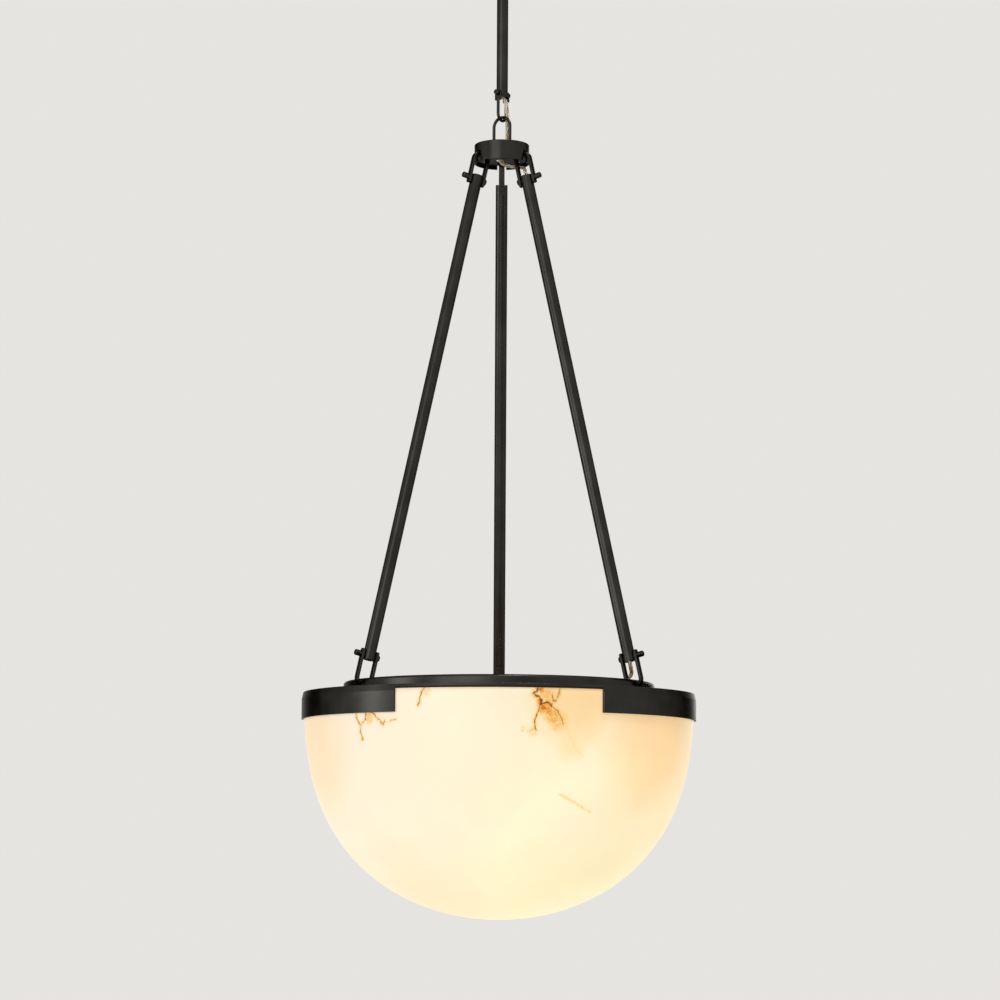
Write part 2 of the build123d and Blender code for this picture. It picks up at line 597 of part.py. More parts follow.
def rim_screws(grow=0.0):
    """Countersunk screws, or with grow their holes, through the flange into the stone's inserts."""
    screw = Pos(0, 0, BAND_TOP) * countersunk(RIM_SCREW_DIAMETER, RIM_SCREW_HEAD, RIM_SCREW_LENGTH, grow)
    return [around(screw, azimuth, RIM_SCREW_RADIUS) for azimuth in rim_screw_azimuths()]


def spider_screws(grow=0.0):
    shank = sleeve(SPIDER_SCREW_DIAMETER / 2 + grow, 0, SPOKE_BOTTOM - OVERCUT, BAND_TOP)
    head = sleeve(SPIDER_SCREW_HEAD / 2, 0, BAND_TOP, BAND_TOP + SPIDER_SCREW_HEAD_HEIGHT)
    return [around(shank + head, azimuth, SPIDER_SCREW_RADIUS) for azimuth in SPOKE_AZIMUTHS]


def outer_band():
    """A flange with a skirt that is cut back to three tabs, one under each arm."""
    radius = BAND_DIAMETER / 2
    band = turned([(FLANGE_BORE, BAND_TOP), (radius - BAND_TAPER, BAND_TOP),
                   (radius, BAND_TOP - BAND_TAPER_HEIGHT), (radius, BAND_TOP - BAND_HEIGHT),
                   (BAND_INSIDE, BAND_TOP - BAND_HEIGHT), (BAND_INSIDE, FLANGE_BOTTOM),
                   (FLANGE_BORE, FLANGE_BOTTOM)])
    gap = 360 / len(ARM_AZIMUTHS) - TAB_SPAN
    low, inside, outside = BAND_TOP - BAND_HEIGHT - OVERCUT, BAND_INSIDE - OVERCUT, radius + OVERCUT
    notch = make_face(Plane.XZ * Polyline(
        (inside, low), (outside, low), (outside, FLANGE_BOTTOM), (inside, FLANGE_BOTTOM), close=True))
    notch = revolve(notch, axis=Axis.Z, revolution_arc=gap)
    for azimuth in ARM_AZIMUTHS.values():
        band -= Rot(0, 0, azimuth + TAB_SPAN / 2) * notch
    skirt_ends = [edge for edge in band.edges().filter_by(Axis.Z)
                  if math.hypot(edge.center().X, edge.center().Y) > radius - FIT]
    band = chamfer(skirt_ends, BAND_EDGE)
    for screw in ring_screws(FIT) + rim_screws(FIT) + spider_screws(FIT):
        band -= screw
    return band


def rim_gasket():
    gasket = sleeve(BOWL_RADIUS - BOWL_EDGE, BOWL_RADIUS - BOWL_EDGE - GASKET_WIDTH, BOWL_RIM, FLANGE_BOTTOM)
    for screw in rim_screws(FIT):
        gasket -= screw
    return gasket


def bowl_curve(inset):
    """Points of the bowl's face, from its side near the rim to its lowest point.

    The radius at a share s of the depth below the equator is R * sqrt(1 - s ** p): a full round
    side that flattens to a broad bottom. The inner face is the same curve, drawn in by the wall."""
    radius = BOWL_RADIUS - inset
    depth = BOWL_DEPTH + BOWL_EQUATOR - inset
    equator = BOWL_RIM + BOWL_EQUATOR
    points = [(radius * math.sqrt(1 - ((BOWL_EQUATOR + BOWL_EDGE) / depth) ** BOWL_POWER), BOWL_RIM - BOWL_EDGE)]
    for angle in BOWL_ANGLES:
        share = math.sin(math.radians(angle)) ** (2 / BOWL_POWER)
        points.append((radius * math.cos(math.radians(angle)), equator - depth * share))
    return points + [(0, equator - depth)]


def alabaster_bowl():
    outer, inner = bowl_curve(0), bowl_curve(BOWL_WALL)
    rim = [outer[0], (outer[0][0] - BOWL_EDGE, BOWL_RIM), (inner[0][0] + BOWL_EDGE, BOWL_RIM), inner[0]]
    outline = Polyline(*rim) + Spline(*inner, tangents=[(0, -1), (-1, 0)])
    outline += Line(inner[-1], outer[-1]) + Spline(*reversed(outer), tangents=[(1, 0), (0, 1)])
    bowl = revolve(make_face(Plane.XZ * outline), axis=Axis.Z)
    pocket = sleeve(INSERT_DIAMETER / 2 + FIT, 0, BOWL_RIM - INSERT_LENGTH - OVERCUT, BOWL_RIM + OVERCUT)
    for azimuth in rim_screw_azimuths():
        bowl -= around(pocket, azimuth, RIM_SCREW_RADIUS)
    return bowl


def rim_inserts():
    insert = sleeve(INSERT_DIAMETER / 2, RIM_SCREW_DIAMETER / 2 + FIT, BOWL_RIM - INSERT_LENGTH, BOWL_RIM)
    return [around(insert, azimuth, RIM_SCREW_RADIUS) for azimuth in rim_screw_azimuths()]


# --- Lamp gear ------------------------------------------------------------------------------------

def lamp_spider():
    """Three spokes under the flange carry the lampholders and the junction box."""
    plan = Circle(SPIDER_DISC_DIAMETER / 2)
    for azimuth in SPOKE_AZIMUTHS:
        plan += Rot(0, 0, azimuth) * Pos(SPOKE_REACH / 2, 0) * Rectangle(SPOKE_REACH, SPOKE_WIDTH)
    spider = extrude(Pos(0, 0, SPOKE_BOTTOM) * plan, amount=SPOKE_THICKNESS)
    hole = sleeve(NIPPLE_DIAMETER / 2 + FIT, 0, SPOKE_BOTTOM - OVERCUT, FLANGE_BOTTOM + OVERCUT)
    for azimuth in SPOKE_AZIMUTHS:
        spider -= around(hole, azimuth, LAMP_RADIUS)
    for screw in spider_screws(FIT):
        spider -= screw
    return spider


def lampholder():
    outer, mouth = HOLDER_DIAMETER / 2, LAMP_BASE_DIAMETER / 2 + LAMP_BASE_GAP
    stem, top = NIPPLE_DIAMETER / 2 + RUNNING_FIT, SPOKE_BOTTOM
    return turned([(stem, top), (outer * 0.65, top), (outer, top - HOLDER_SHOULDER), (outer, top - HOLDER_LENGTH),
                   (mouth, top - HOLDER_LENGTH), (mouth, top - HOLDER_CAP), (stem, top - HOLDER_CAP)])


def lamp():
    """A golf-ball lamp: its screw base in the holder, its globe below."""
    base, top = LAMP_BASE_DIAMETER / 2, SPOKE_BOTTOM - HOLDER_CAP - OVERCUT
    globe, neck = LAMP_GLOBE_DIAMETER / 2, LAMP_NECK_DIAMETER / 2
    centre = top + globe - LAMP_LENGTH
    shoulder = centre + math.sqrt(globe ** 2 - neck ** 2)
    outline = Polyline((0, top), (base, top), (base, top - LAMP_BASE_LENGTH), (neck, shoulder))
    outline += ThreePointArc((neck, shoulder), (globe, centre), (0, centre - globe))
    outline += Line((0, centre - globe), (0, top))
    return revolve(make_face(Plane.XZ * outline), axis=Axis.Z)


def holder_nipple():
    return sleeve(NIPPLE_DIAMETER / 2, NIPPLE_BORE / 2,
                  FLANGE_BOTTOM + HOLDER_NIPPLE_RISE - HOLDER_NIPPLE_LENGTH, FLANGE_BOTTOM + HOLDER_NIPPLE_RISE)


def holder_nut():
    return hexagon_nut(HOLDER_NUT_ACROSS_FLATS, NIPPLE_DIAMETER / 2 + FIT, FLANGE_BOTTOM, HOLDER_NUT_HEIGHT)


def at_lamps(shape):
    return [around(shape, azimuth, LAMP_RADIUS) for azimuth in SPOKE_AZIMUTHS]


def side_hole(diameter, height, azimuth):
    drill = Pos(BOX_DIAMETER / 2, 0, FLANGE_BOTTOM + height) * Rot(0, 90, 0) * Cylinder(
        diameter / 2, 4 * BOX_WALL)
    return Rot(0, 0, azimuth) * drill


def junction_box():
    box = sleeve(BOX_DIAMETER / 2, 0, FLANGE_BOTTOM, FLANGE_BOTTOM + BOX_HEIGHT)
    box -= sleeve(BOX_DIAMETER / 2 - BOX_WALL, 0, FLANGE_BOTTOM + BOX_WALL, FLANGE_BOTTOM + BOX_HEIGHT + OVERCUT)
    for azimuth in SPOKE_AZIMUTHS:
        box -= side_hole(WIRE_DIAMETER + 2 * FIT, WIRE_HEIGHT, azimuth)
    return box - side_hole(GLAND_DIAMETER + 2 * FIT, GLAND_HEIGHT, ARM_AZIMUTHS["right"])


def junction_lid():
    top = FLANGE_BOTTOM + BOX_HEIGHT
    plug = BOX_DIAMETER / 2 - BOX_WALL - FIT
    return sleeve(BOX_DIAMETER / 2, 0, top, top + LID_THICKNESS) + sleeve(plug, plug - BOX_WALL, top - BOX_WALL, top)


def bowl_terminal_block():
    return Pos(0, 0, FLANGE_BOTTOM + BOX_WALL + BLOCK_HEIGHT / 2) * Box(BLOCK_LENGTH, BLOCK_WIDTH, BLOCK_HEIGHT)


def cord_gland():
    """The gland in the junction box's side: a sleeve through the wall and a nut outside it."""
    start = BOX_DIAMETER / 2 - 2 * BOX_WALL
    body = sleeve(GLAND_DIAMETER / 2, LEAD_HOLE, start, start + GLAND_LENGTH + 2 * BOX_WALL)
    nut = hexagon_nut(1.3 * GLAND_DIAMETER, LEAD_HOLE, BOX_DIAMETER / 2 + RUNNING_FIT, GLAND_LENGTH / 2)
    return Rot(0, 0, ARM_AZIMUTHS["right"]) * Pos(0, 0, FLANGE_BOTTOM + GLAND_HEIGHT) * Rot(0, 90, 0) * (body + nut)


def lamp_wire(azimuth):
    """The short lead from the junction box up and over into a lampholder's nipple."""
    level, start = FLANGE_BOTTOM + WIRE_HEIGHT, BOX_DIAMETER / 2 - 2 * BOX_WALL
    crest = FLANGE_BOTTOM + HOLDER_NIPPLE_RISE + WIRE_RISE
    points = [(start, 0, level), (start + WIRE_LEVEL_RUN, 0, level), (LAMP_RADIUS, 0, crest),
              (LAMP_RADIUS, 0, FLANGE_BOTTOM)]
    return Rot(0, 0, azimuth) * lead_tube(
        "lamp wire", points, [WIRE_LIFT_RADIUS, WIRE_CREST_RADIUS], WIRE_DIAMETER)


# --- Mains lead: its points are chosen by hand, from the pieces that hold it -------------------------

def lead_in_rod():
    """From the terminal block, through the nipple and down the rod."""
    entry = BAR_TOP + 7
    points = [(TERMINAL_OFFSET, 0, entry), (0, 0, entry), (0, 0, ROD_END + 2)]
    return lead_tube("rod lead", points, [6])


def lead_to_link():
    """Out of the rod's end and aside, clear of both loops of the link."""
    points = [(0, 0, ROD_END + 2), (0, 0, ROD_END - 5), (GROMMET_X, GROMMET_Y, LINK_Z + 9),
              (GROMMET_X, GROMMET_Y, LINK_Z)]
    return lead_tube("link lead", points, [12, 15])


def lead_to_hub():
    """Beside the bail, down to the grommet in the hub's top."""
    return Pos(GROMMET_X, GROMMET_Y, 0) * sleeve(LEAD_DIAMETER / 2, 0, HUB_TOP + GROMMET_LIP, LINK_Z)


def lead_in_hub():
    """Across the hub, out of its bushing and behind the inner leg of the right strap into the tube."""
    azimuth = ARM_AZIMUTHS["right"]
    points = [(GROMMET_X, GROMMET_Y, HUB_TOP + GROMMET_LIP), (GROMMET_X, GROMMET_Y, HUB_TOP - 5.5),
              (BUSHING_X, BUSHING_Y, PLATE_TOP + 4.5), (BUSHING_X, BUSHING_Y, HUB_BOTTOM - 2.5),
              from_arm(-7.5, 13.5, -12, azimuth), from_arm(0, 0, -TUBE_TOP_GAP + 8, azimuth),
              from_arm(0, 0, -TUBE_TOP_GAP - LEAD_TUCK, azimuth)]
    return lead_tube("hub lead", points, [5.3, 5.3, 6, 9, 12])


def lead_in_arm():
    azimuth = ARM_AZIMUTHS["right"]
    foot = -ARM_LENGTH + TUBE_BOTTOM_GAP + LEAD_TUCK + OVERCUT
    return on_arm(sleeve(LEAD_DIAMETER / 2, 0, foot, -TUBE_TOP_GAP - LEAD_TUCK - HEAD_GAP), azimuth)


def lead_in_bowl():
    """Out of the tube, behind the inner leg of the strap, over the flange and sagging to the gland."""
    azimuth = ARM_AZIMUTHS["right"]
    mouth = -ARM_LENGTH + TUBE_BOTTOM_GAP

    def inside(radius, side, height):
        return tuple((Rot(0, 0, azimuth) * Pos(radius, side, BAND_TOP + height)).position)

    crest = RING_RADIUS - RING_WALL - LEAD_FLANGE_GAP
    end, level = BOX_DIAMETER / 2 + GLAND_LENGTH, GLAND_HEIGHT - FLANGE_THICKNESS
    foot = end + LEAD_GLAND_RUN
    points = [from_arm(0, 0, mouth + LEAD_TUCK, azimuth), from_arm(0, 0, mouth - 6, azimuth),
              from_arm(-8, 13.5, mouth - 14, azimuth), inside(crest, 12, 9),
              inside(foot + 0.6 * (crest - foot), 9, -LEAD_SAG), inside(foot + 0.21 * (crest - foot), 3, -LEAD_SAG),
              inside(foot, 0, level), inside(end, 0, level)]
    return lead_tube("bowl lead", points, [9, 14, 60, 90, 40, 26])


os.makedirs("parts", exist_ok=True)

save("mounting_crossbar", crossbar())
save("canopy", canopy())
save("canopy_nipple", canopy_nipple())
save("nipple_locknut", hexagon_nut(LOCKNUT_ACROSS_FLATS, NIPPLE_DIAMETER / 2 + FIT,
                                   BAR_BOTTOM - LOCKNUT_HEIGHT, LOCKNUT_HEIGHT))
save("canopy_collar", canopy_collar())
save("ceiling_terminal_block", terminal_block())
save("earth_screw", earth_screw())
save("drop_rod", drop_rod())
save("shackle_screws", shackle_screw(-1), shackle_screw(1))
save("top_shackle", top_shackle())
save("hub_bail", hub_bail())
save("bail_nuts", *bail_nuts())
save("hub_cup", hub_cup())
save("hub_plate", hub_plate())
save("hub_plate_screws", *hub_plate_screws())
save("cord_bushing", cord_bushing())
save("cord_grommet", cord_grommet())

for arm, arm_azimuth in ARM_AZIMUTHS.items():
    save(f"upper_strap_{arm}", upper_strap(arm_azimuth))
    save(f"arm_tube_{arm}", arm_tube(arm_azimuth))
    save(f"arm_ferrules_{arm}", *arm_ferrules(arm_azimuth))
    save(f"knob_pins_{arm}", *arm_pins(arm_azimuth, 1, KNOB_DIAMETER, KNOB_LENGTH, KNOB_ROUNDING))
    save(f"button_pins_{arm}", *arm_pins(arm_azimuth, -1, BUTTON_DIAMETER, BUTTON_HEIGHT, BUTTON_HEIGHT / 2))
    save(f"lower_strap_{arm}", lower_strap(arm_azimuth))

save("outer_band", outer_band())
save("hanging_ring", hanging_ring())
save("ring_screws", *ring_screws())
save("rim_gasket", rim_gasket())
save("rim_screws", *rim_screws())
save("alabaster_bowl", alabaster_bowl())
save("rim_inserts", *rim_inserts())
save("lamp_spider", lamp_spider())
save("spider_screws", *spider_screws())
save("lampholders", *at_lamps(lampholder()))
save("lamps", *at_lamps(lamp()))
save("holder_nipples", *at_lamps(holder_nipple()))
save("holder_nuts", *at_lamps(holder_nut()))
save("junction_box", junction_box())
save("junction_lid", junction_lid())
save("bowl_terminal_block", bowl_terminal_block())
save("cord_gland", cord_gland())
save("lamp_wires", *[lamp_wire(azimuth) for azimuth in SPOKE_AZIMUTHS])

save("supply_cord_rod", lead_in_rod())
save("supply_cord_link_upper", lead_to_link())
save("supply_cord_link_lower", lead_to_hub())
save("supply_cord_hub", lead_in_hub())
save("supply_cord_arm", lead_in_arm())
save("supply_cord_bowl", lead_in_bowl())
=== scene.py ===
import math

import bpy
from bpy.props import FloatProperty, FloatVectorProperty, IntProperty, PointerProperty
from mathutils import Euler, Matrix, Vector


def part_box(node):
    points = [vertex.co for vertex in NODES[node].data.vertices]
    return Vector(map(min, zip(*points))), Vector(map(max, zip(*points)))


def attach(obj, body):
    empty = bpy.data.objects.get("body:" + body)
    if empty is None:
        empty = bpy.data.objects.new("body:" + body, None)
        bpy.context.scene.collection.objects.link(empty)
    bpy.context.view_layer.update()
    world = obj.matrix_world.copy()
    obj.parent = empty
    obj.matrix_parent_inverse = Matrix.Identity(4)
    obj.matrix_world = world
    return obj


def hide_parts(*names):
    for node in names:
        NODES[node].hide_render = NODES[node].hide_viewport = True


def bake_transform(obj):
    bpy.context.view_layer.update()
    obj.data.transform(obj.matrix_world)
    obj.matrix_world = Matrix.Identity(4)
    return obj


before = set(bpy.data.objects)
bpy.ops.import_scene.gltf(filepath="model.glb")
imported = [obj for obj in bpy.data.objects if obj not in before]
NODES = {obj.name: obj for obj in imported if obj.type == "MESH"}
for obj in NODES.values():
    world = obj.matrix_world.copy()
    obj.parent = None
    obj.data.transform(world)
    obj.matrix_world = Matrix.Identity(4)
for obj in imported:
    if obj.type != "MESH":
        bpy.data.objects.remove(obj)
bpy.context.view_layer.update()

bl_info = {
    "name": "Alabaster Bowl Pendant",
    "version": (1, 0, 0),
    "blender": (4, 5, 0),
    "location": "View3D > Sidebar > Pendant",
    "description": "Dresses the packed frame of an alabaster bowl pendant and lights it",
    "category": "Object",
}

MM = 0.001

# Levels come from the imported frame, in metres: the origin is on the ceiling, +Z is up and the viewer
# stands at -Y.
BAND_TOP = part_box("outer_band")[1].z
STONE_FOOT, STONE_RIM = (corner.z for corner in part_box("alabaster_bowl"))
HUB_FOOT, HUB_TOP = (corner.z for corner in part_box("hub_cup"))
ROD_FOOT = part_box("drop_rod")[0].z
LINK_LEVEL = ROD_FOOT - 26.5 * MM
PLATE_TOP = HUB_FOOT + 9 * MM

# An arm leans from its hook over the hub's bar out to its hook under the ring, in the plane of its azimuth.
ARM_AZIMUTHS = {"right": -30, "left": 210, "back": 90}
HOOK_IN = Vector((29.8 * MM, 0, PLATE_TOP))
HOOK_OUT = Vector((194.7 * MM, 0, BAND_TOP + 7 * MM))
ARM_LENGTH = (HOOK_OUT - HOOK_IN).length
ARM_TILT = math.atan2(HOOK_OUT.x - HOOK_IN.x, HOOK_IN.z - HOOK_OUT.z)

# Three lamps stand in a circle. Each is its spoke's azimuth, and how far in millimetres its light through
# the stone reaches at the strength that counts as 1.
LAMPS = ((310, 195), (190, 90), (70, 150))
LAMP_CIRCLE, LAMP_LEVEL = 95 * MM, STONE_RIM - 115 * MM

# The bowl's outline is radius * sqrt(1 - share of the depth ** fullness), from an equator above its rim.
BOWL_FULLNESS = 2.68
EQUATOR_LEVEL = STONE_RIM + 15 * MM
RIM_EASE = 1 * MM

# Each studio light is its place and its size, in metres, and its power in watts. The front one is wide and
# just left of the camera, and the left one is smaller and brighter for its size, so that the lacquer shows
# them as a broad soft highlight in front and a narrow one at its left.
STUDIO_LIGHTS = {
    "Front": ((-2.1, -4.1, -0.3), 3.6, 54),
    "Left": ((-3.2, -0.9, -0.6), 1.2, 14),
    "Top": ((0.5, -1.4, 1.5), 0.7, 24),
    "Back": ((1.2, 3.4, 0.2), 2.6, 22),
}
STUDIO_AIM = Vector((0, 0, -1.0))
FLOOR_HALF, FLOOR_LIFT = 6, 0.48


# --- Sizes and colours a user would change ---------------------------------------------------------

def linear(code):
    """A linear RGBA colour from an sRGB hex code."""
    channels = [int(code[i:i + 2], 16) / 255 for i in (0, 2, 4)]
    return tuple(c / 12.92 if c <= 0.04045 else ((c + 0.055) / 1.055) ** 2.4 for c in channels) + (1.0,)


def length(name, description, millimetres):
    """A size property, in metres, with its default given in millimetres."""
    return FloatProperty(name=name, description=description, default=millimetres * MM, min=0, unit="LENGTH")


def colour(name, description, code):
    """A colour property with its default given as an sRGB hex code."""
    return FloatVectorProperty(name=name, description=description, default=linear(code), size=4,
                               min=0, max=1, subtype="COLOR")


class PendantSizes(bpy.types.PropertyGroup):
    """Sizes that the dressed pieces are made to."""
    stone_radius: length("Stone radius", "Radius of the bowl at its widest, just under the rim", 246.8)
    stone_wall: length("Stone wall", "Thickness of the bowl's wall", 12)
    stone_columns: IntProperty(name="Stone columns", description="Faces around the bowl", default=288,
                               min=48)
    lead_diameter: length("Lead diameter", "Outside of the clear jacket", 5)
    core_diameter: length("Core diameter", "Outside of each of the three cores in the lead", 1.7)
    core_lay: length("Core lay", "Length in which the cores make one full turn", 28)
    floor_drop: length("Floor drop", "From the ceiling fitting down to the floor", 2300)


class PendantColours(bpy.types.PropertyGroup):
    """Colours of the finishes, picked in the usual way and kept linear."""
    bronze: colour("Bronze lacquer", "Body of the dark lacquer on the metalwork", "31302E")
    # The wear colour also paints a highlight along the eased edges.
    bronze_wear_and_edge_highlight: colour("Bronze wear", "Where the lacquer thins on edges and handled faces", "6A6660")
    stone_cool: colour("Stone, pink cloud", "Paler clouds of the alabaster", "F0E2D2")
    stone_warm: colour("Stone, honey cloud", "Warmer clouds of the alabaster", "EDD5B2")
    vein: colour("Vein", "Dark thread of a vein", "76603A")
    stain: colour("Vein stain", "Amber stain beside the threads", "DA9C42")
    glow: colour("Glow", "Light of the lamps through the stone", "FFF6E4")
    floor: colour("Floor", "Plain studio floor", "E4E2DE")


# --- Shared helpers ---------------------------------------------------------------------------------

def add_node(tree, kind, inputs=None, **settings):
    """Adds one node. Settings are its own fields; inputs gives a socket a value or another's output."""
    node = tree.nodes.new(kind)
    for field, value in settings.items():
        setattr(node, field, value)
    for socket, value in (inputs or {}).items():
        if isinstance(value, bpy.types.NodeSocket):
            tree.links.new(value, node.inputs[socket])
        else:
            node.inputs[socket].default_value = value
    return node


def combined(tree, operation, values):
    """One value from a run of them, such as the least, the greatest or the sum of all."""
    values = iter(values)
    result = next(values)
    for value in values:
        node = add_node(tree, "ShaderNodeMath", {0: result, 1: value}, operation=operation)
        result = node.outputs["Value"]
    return result


def new_material(name, shader_inputs):
    """A material with one Principled shader: its tree, its shader and the coordinates in metres."""
    material = bpy.data.materials.new(name)
    material.use_nodes = True
    tree = material.node_tree
    tree.nodes.clear()
    shader = add_node(tree, "ShaderNodeBsdfPrincipled", shader_inputs)
    add_node(tree, "ShaderNodeOutputMaterial", {"Surface": shader.outputs["BSDF"]})
    place = add_node(tree, "ShaderNodeTexCoord").outputs["Object"]
    return material, tree, shader, place


def per(millimetres):
    """A texture scale whose features repeat about once in this many millimetres."""
    return 1 / (millimetres * MM)


def darkened(light, share):
    """A colour at a share of its strength."""
    return tuple(share * c for c in light[:3]) + (1.0,)


def piece(name, mesh, material, body):
    """Makes an object of a finished mesh and hangs it on its body of the frame, if one is named."""
    thing = bpy.data.objects.new(name, mesh)
    bpy.context.scene.collection.objects.link(thing)
    mesh.materials.append(material)
    for face in mesh.polygons:
        face.use_smooth = True
    if body:
        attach(thing, body)
    return thing


def mesh_of(name, vertices, faces):
    """A mesh of these places and faces."""
    mesh = bpy.data.meshes.new(name)
    mesh.from_pydata([tuple(v) for v in vertices], [], faces)
    mesh.validate()
    mesh.update()
    return mesh


def dress(material, *names):
    """Gives carried-over nodes of the frame their finish."""
    for name in names:
        thing = NODES[name]
        if not thing.material_slots:
            thing.data.materials.append(material)
        for entry in thing.material_slots:
            entry.material = material


def turned(profile, columns):
    """Vertices and faces of an open outline of (radius, z) points turned on the lamp's axis."""
    vertices, rows = [], []
    for radius, z in profile:
        if radius < 1e-6:
            rows.append([len(vertices)] * columns)
            vertices.append(Vector((0, 0, z)))
            continue
        rows.append(range(len(vertices), len(vertices) + columns))
        for column in range(columns):
            angle = math.tau * column / columns
            vertices.append(Vector((radius * math.cos(angle), radius * math.sin(angle), z)))
    faces = []
    for upper, lower in zip(rows, rows[1:]):
        for column in range(columns):
            following = (column + 1) % columns
            corners = [upper[column], upper[following], lower[following], lower[column]]
            faces.append([c for i, c in enumerate(corners) if c != corners[i - 1]])
    return vertices, faces


def from_arm(x, y, z, azimuth):
    """A point on an arm's own axes (millimetres, z up the arm from the hub's bar) in the lamp's frame."""
    out = Vector((math.cos(ARM_TILT), 0, math.sin(ARM_TILT)))
    up = Vector((-math.sin(ARM_TILT), 0, math.cos(ARM_TILT)))
    point = HOOK_IN + x * MM * out + Vector((0, y * MM, 0)) + z * MM * up
    return Matrix.Rotation(math.radians(azimuth), 3, "Z") @ point


# --- Finishes ---------------------------------------------------------------------------------------

def bronze_lacquer(colours):
    """Steel blackened to a bronze and satin lacquered: soft wide highlights, a faint mottle."""
    # The grey tint keeps a dark metal's edges from turning pale where they are seen at a slant.
    material, tree, shader, place = new_material(
        "Lacquered bronze steel", {"Metallic": 1.0, "Specular Tint": linear("9C9C9C")})
    # Patina drifts in patches about 35 mm wide.
    patina = add_node(tree, "ShaderNodeTexNoise", {"Vector": place, "Scale": per(35), "Detail": 5.0})
    blend = add_node(tree, "ShaderNodeMapRange", {
        "Value": patina.outputs["Fac"], "From Min": 0.35, "From Max": 0.7, "To Min": 0.0, "To Max": 0.12})
    tone = add_node(tree, "ShaderNodeMix", {
        "Factor": blend.outputs["Result"], "A": tuple(colours.bronze), "B": tuple(colours.bronze_wear_and_edge_highlight)},
        data_type="RGBA")
    # The eased edges of a lacquered part are painted a little lighter: partly wear, partly a painted
    # highlight along each edge.
    eased = add_node(tree, "ShaderNodeBevel", {"Radius": 0.7 * MM}, samples=6)
    flat = add_node(tree, "ShaderNodeNewGeometry")
    facing = add_node(tree, "ShaderNodeVectorMath", {0: eased.outputs["Normal"], 1: flat.outputs["Normal"]},
                      operation="DOT_PRODUCT")
    edge_wear_and_highlight = add_node(tree, "ShaderNodeMapRange", {
        "Value": facing.outputs["Value"], "From Min": 0.99, "From Max": 0.85,
        "To Min": 0.0, "To Max": 0.55})
    rubbed_and_highlit = add_node(tree, "ShaderNodeMix", {
        "Factor": edge_wear_and_highlight.outputs["Result"], "A": tone.outputs["Result"], "B": tuple(colours.bronze_wear_and_edge_highlight)},
        data_type="RGBA")
    tree.links.new(rubbed_and_highlit.outputs["Result"], shader.inputs["Base Color"])
    sheen = add_node(tree, "ShaderNodeMapRange", {
        "Value": patina.outputs["Fac"], "To Min": 0.22, "To Max": 0.32})
    tree.links.new(sheen.outputs["Result"], shader.inputs["Roughness"])
    # The lacquer's fine texture is about 0.3 mm; it is drawn at twice that so that it shows.
    grain = add_node(tree, "ShaderNodeTexNoise", {"Vector": place, "Scale": per(0.6), "Detail": 2.0})
    bump = add_node(tree, "ShaderNodeBump", {
        "Height": grain.outputs["Fac"], "Strength": 0.06, "Distance": 0.05 * MM,
        "Normal": eased.outputs["Normal"]})
    tree.links.new(bump.outputs["Normal"], shader.inputs["Normal"])
    return material


def grained(name, code, shader_inputs, grain_mm, detail, hollow_share, strength, height_mm):
    """A finish of one colour with a fine grain in relief, whose hollows are a little darker."""
    material, tree, shader, place = new_material(name, shader_inputs)
    grain = add_node(tree, "ShaderNodeTexNoise", {
        "Vector": place, "Scale": per(grain_mm), "Detail": detail})
    light = linear(code)
    tone = add_node(tree, "ShaderNodeMix", {
        "Factor": grain.outputs["Fac"], "A": darkened(light, hollow_share), "B": light}, data_type="RGBA")
    tree.links.new(tone.outputs["Result"], shader.inputs["Base Color"])
    bump = add_node(tree, "ShaderNodeBump", {
        "Height": grain.outputs["Fac"], "Strength": strength, "Distance": height_mm * MM})
    tree.links.new(bump.outputs["Normal"], shader.inputs["Normal"])
    return material


def plated_metal(name, code, roughness, grain_mm=0.8):
    """Plated, drawn or blackened metal: one colour with the fine grain that the bath or die leaves."""
    return grained(name, code, {"Metallic": 1.0, "Roughness": roughness}, grain_mm, detail=3.0,
                   hollow_share=0.8, strength=0.1, height_mm=0.03)


def moulded(name, code, roughness, pebble_mm, height_mm=0.04, **extra):
    """Plastic, rubber, glass or powder coat: one colour with the fine texture of its mould or spray."""
    return grained(name, code, {"Roughness": roughness, **extra}, pebble_mm, detail=2.0,
                   hollow_share=0.88, strength=0.25, height_mm=height_mm)


def clear_jacket():
    """Clear PVC, extruded: the cores show through it, a little milky."""
    return moulded("Clear PVC, extruded", "F4EEE2", 0.12, 3.0, 0.02,
                   **{"Transmission Weight": 0.85, "IOR": 1.5})


def opal_lamp():
    """Opal glass, blown and lit: an even white with a soft gloss."""
    return moulded("Opal glass, blown", "FFF6E6", 0.2, 20.0, 0.01,
                   **{"Emission Color": linear("FFEBC8"), "Emission Strength": 1.2})


# --- The stone --------------------------------------------------------------------------------------

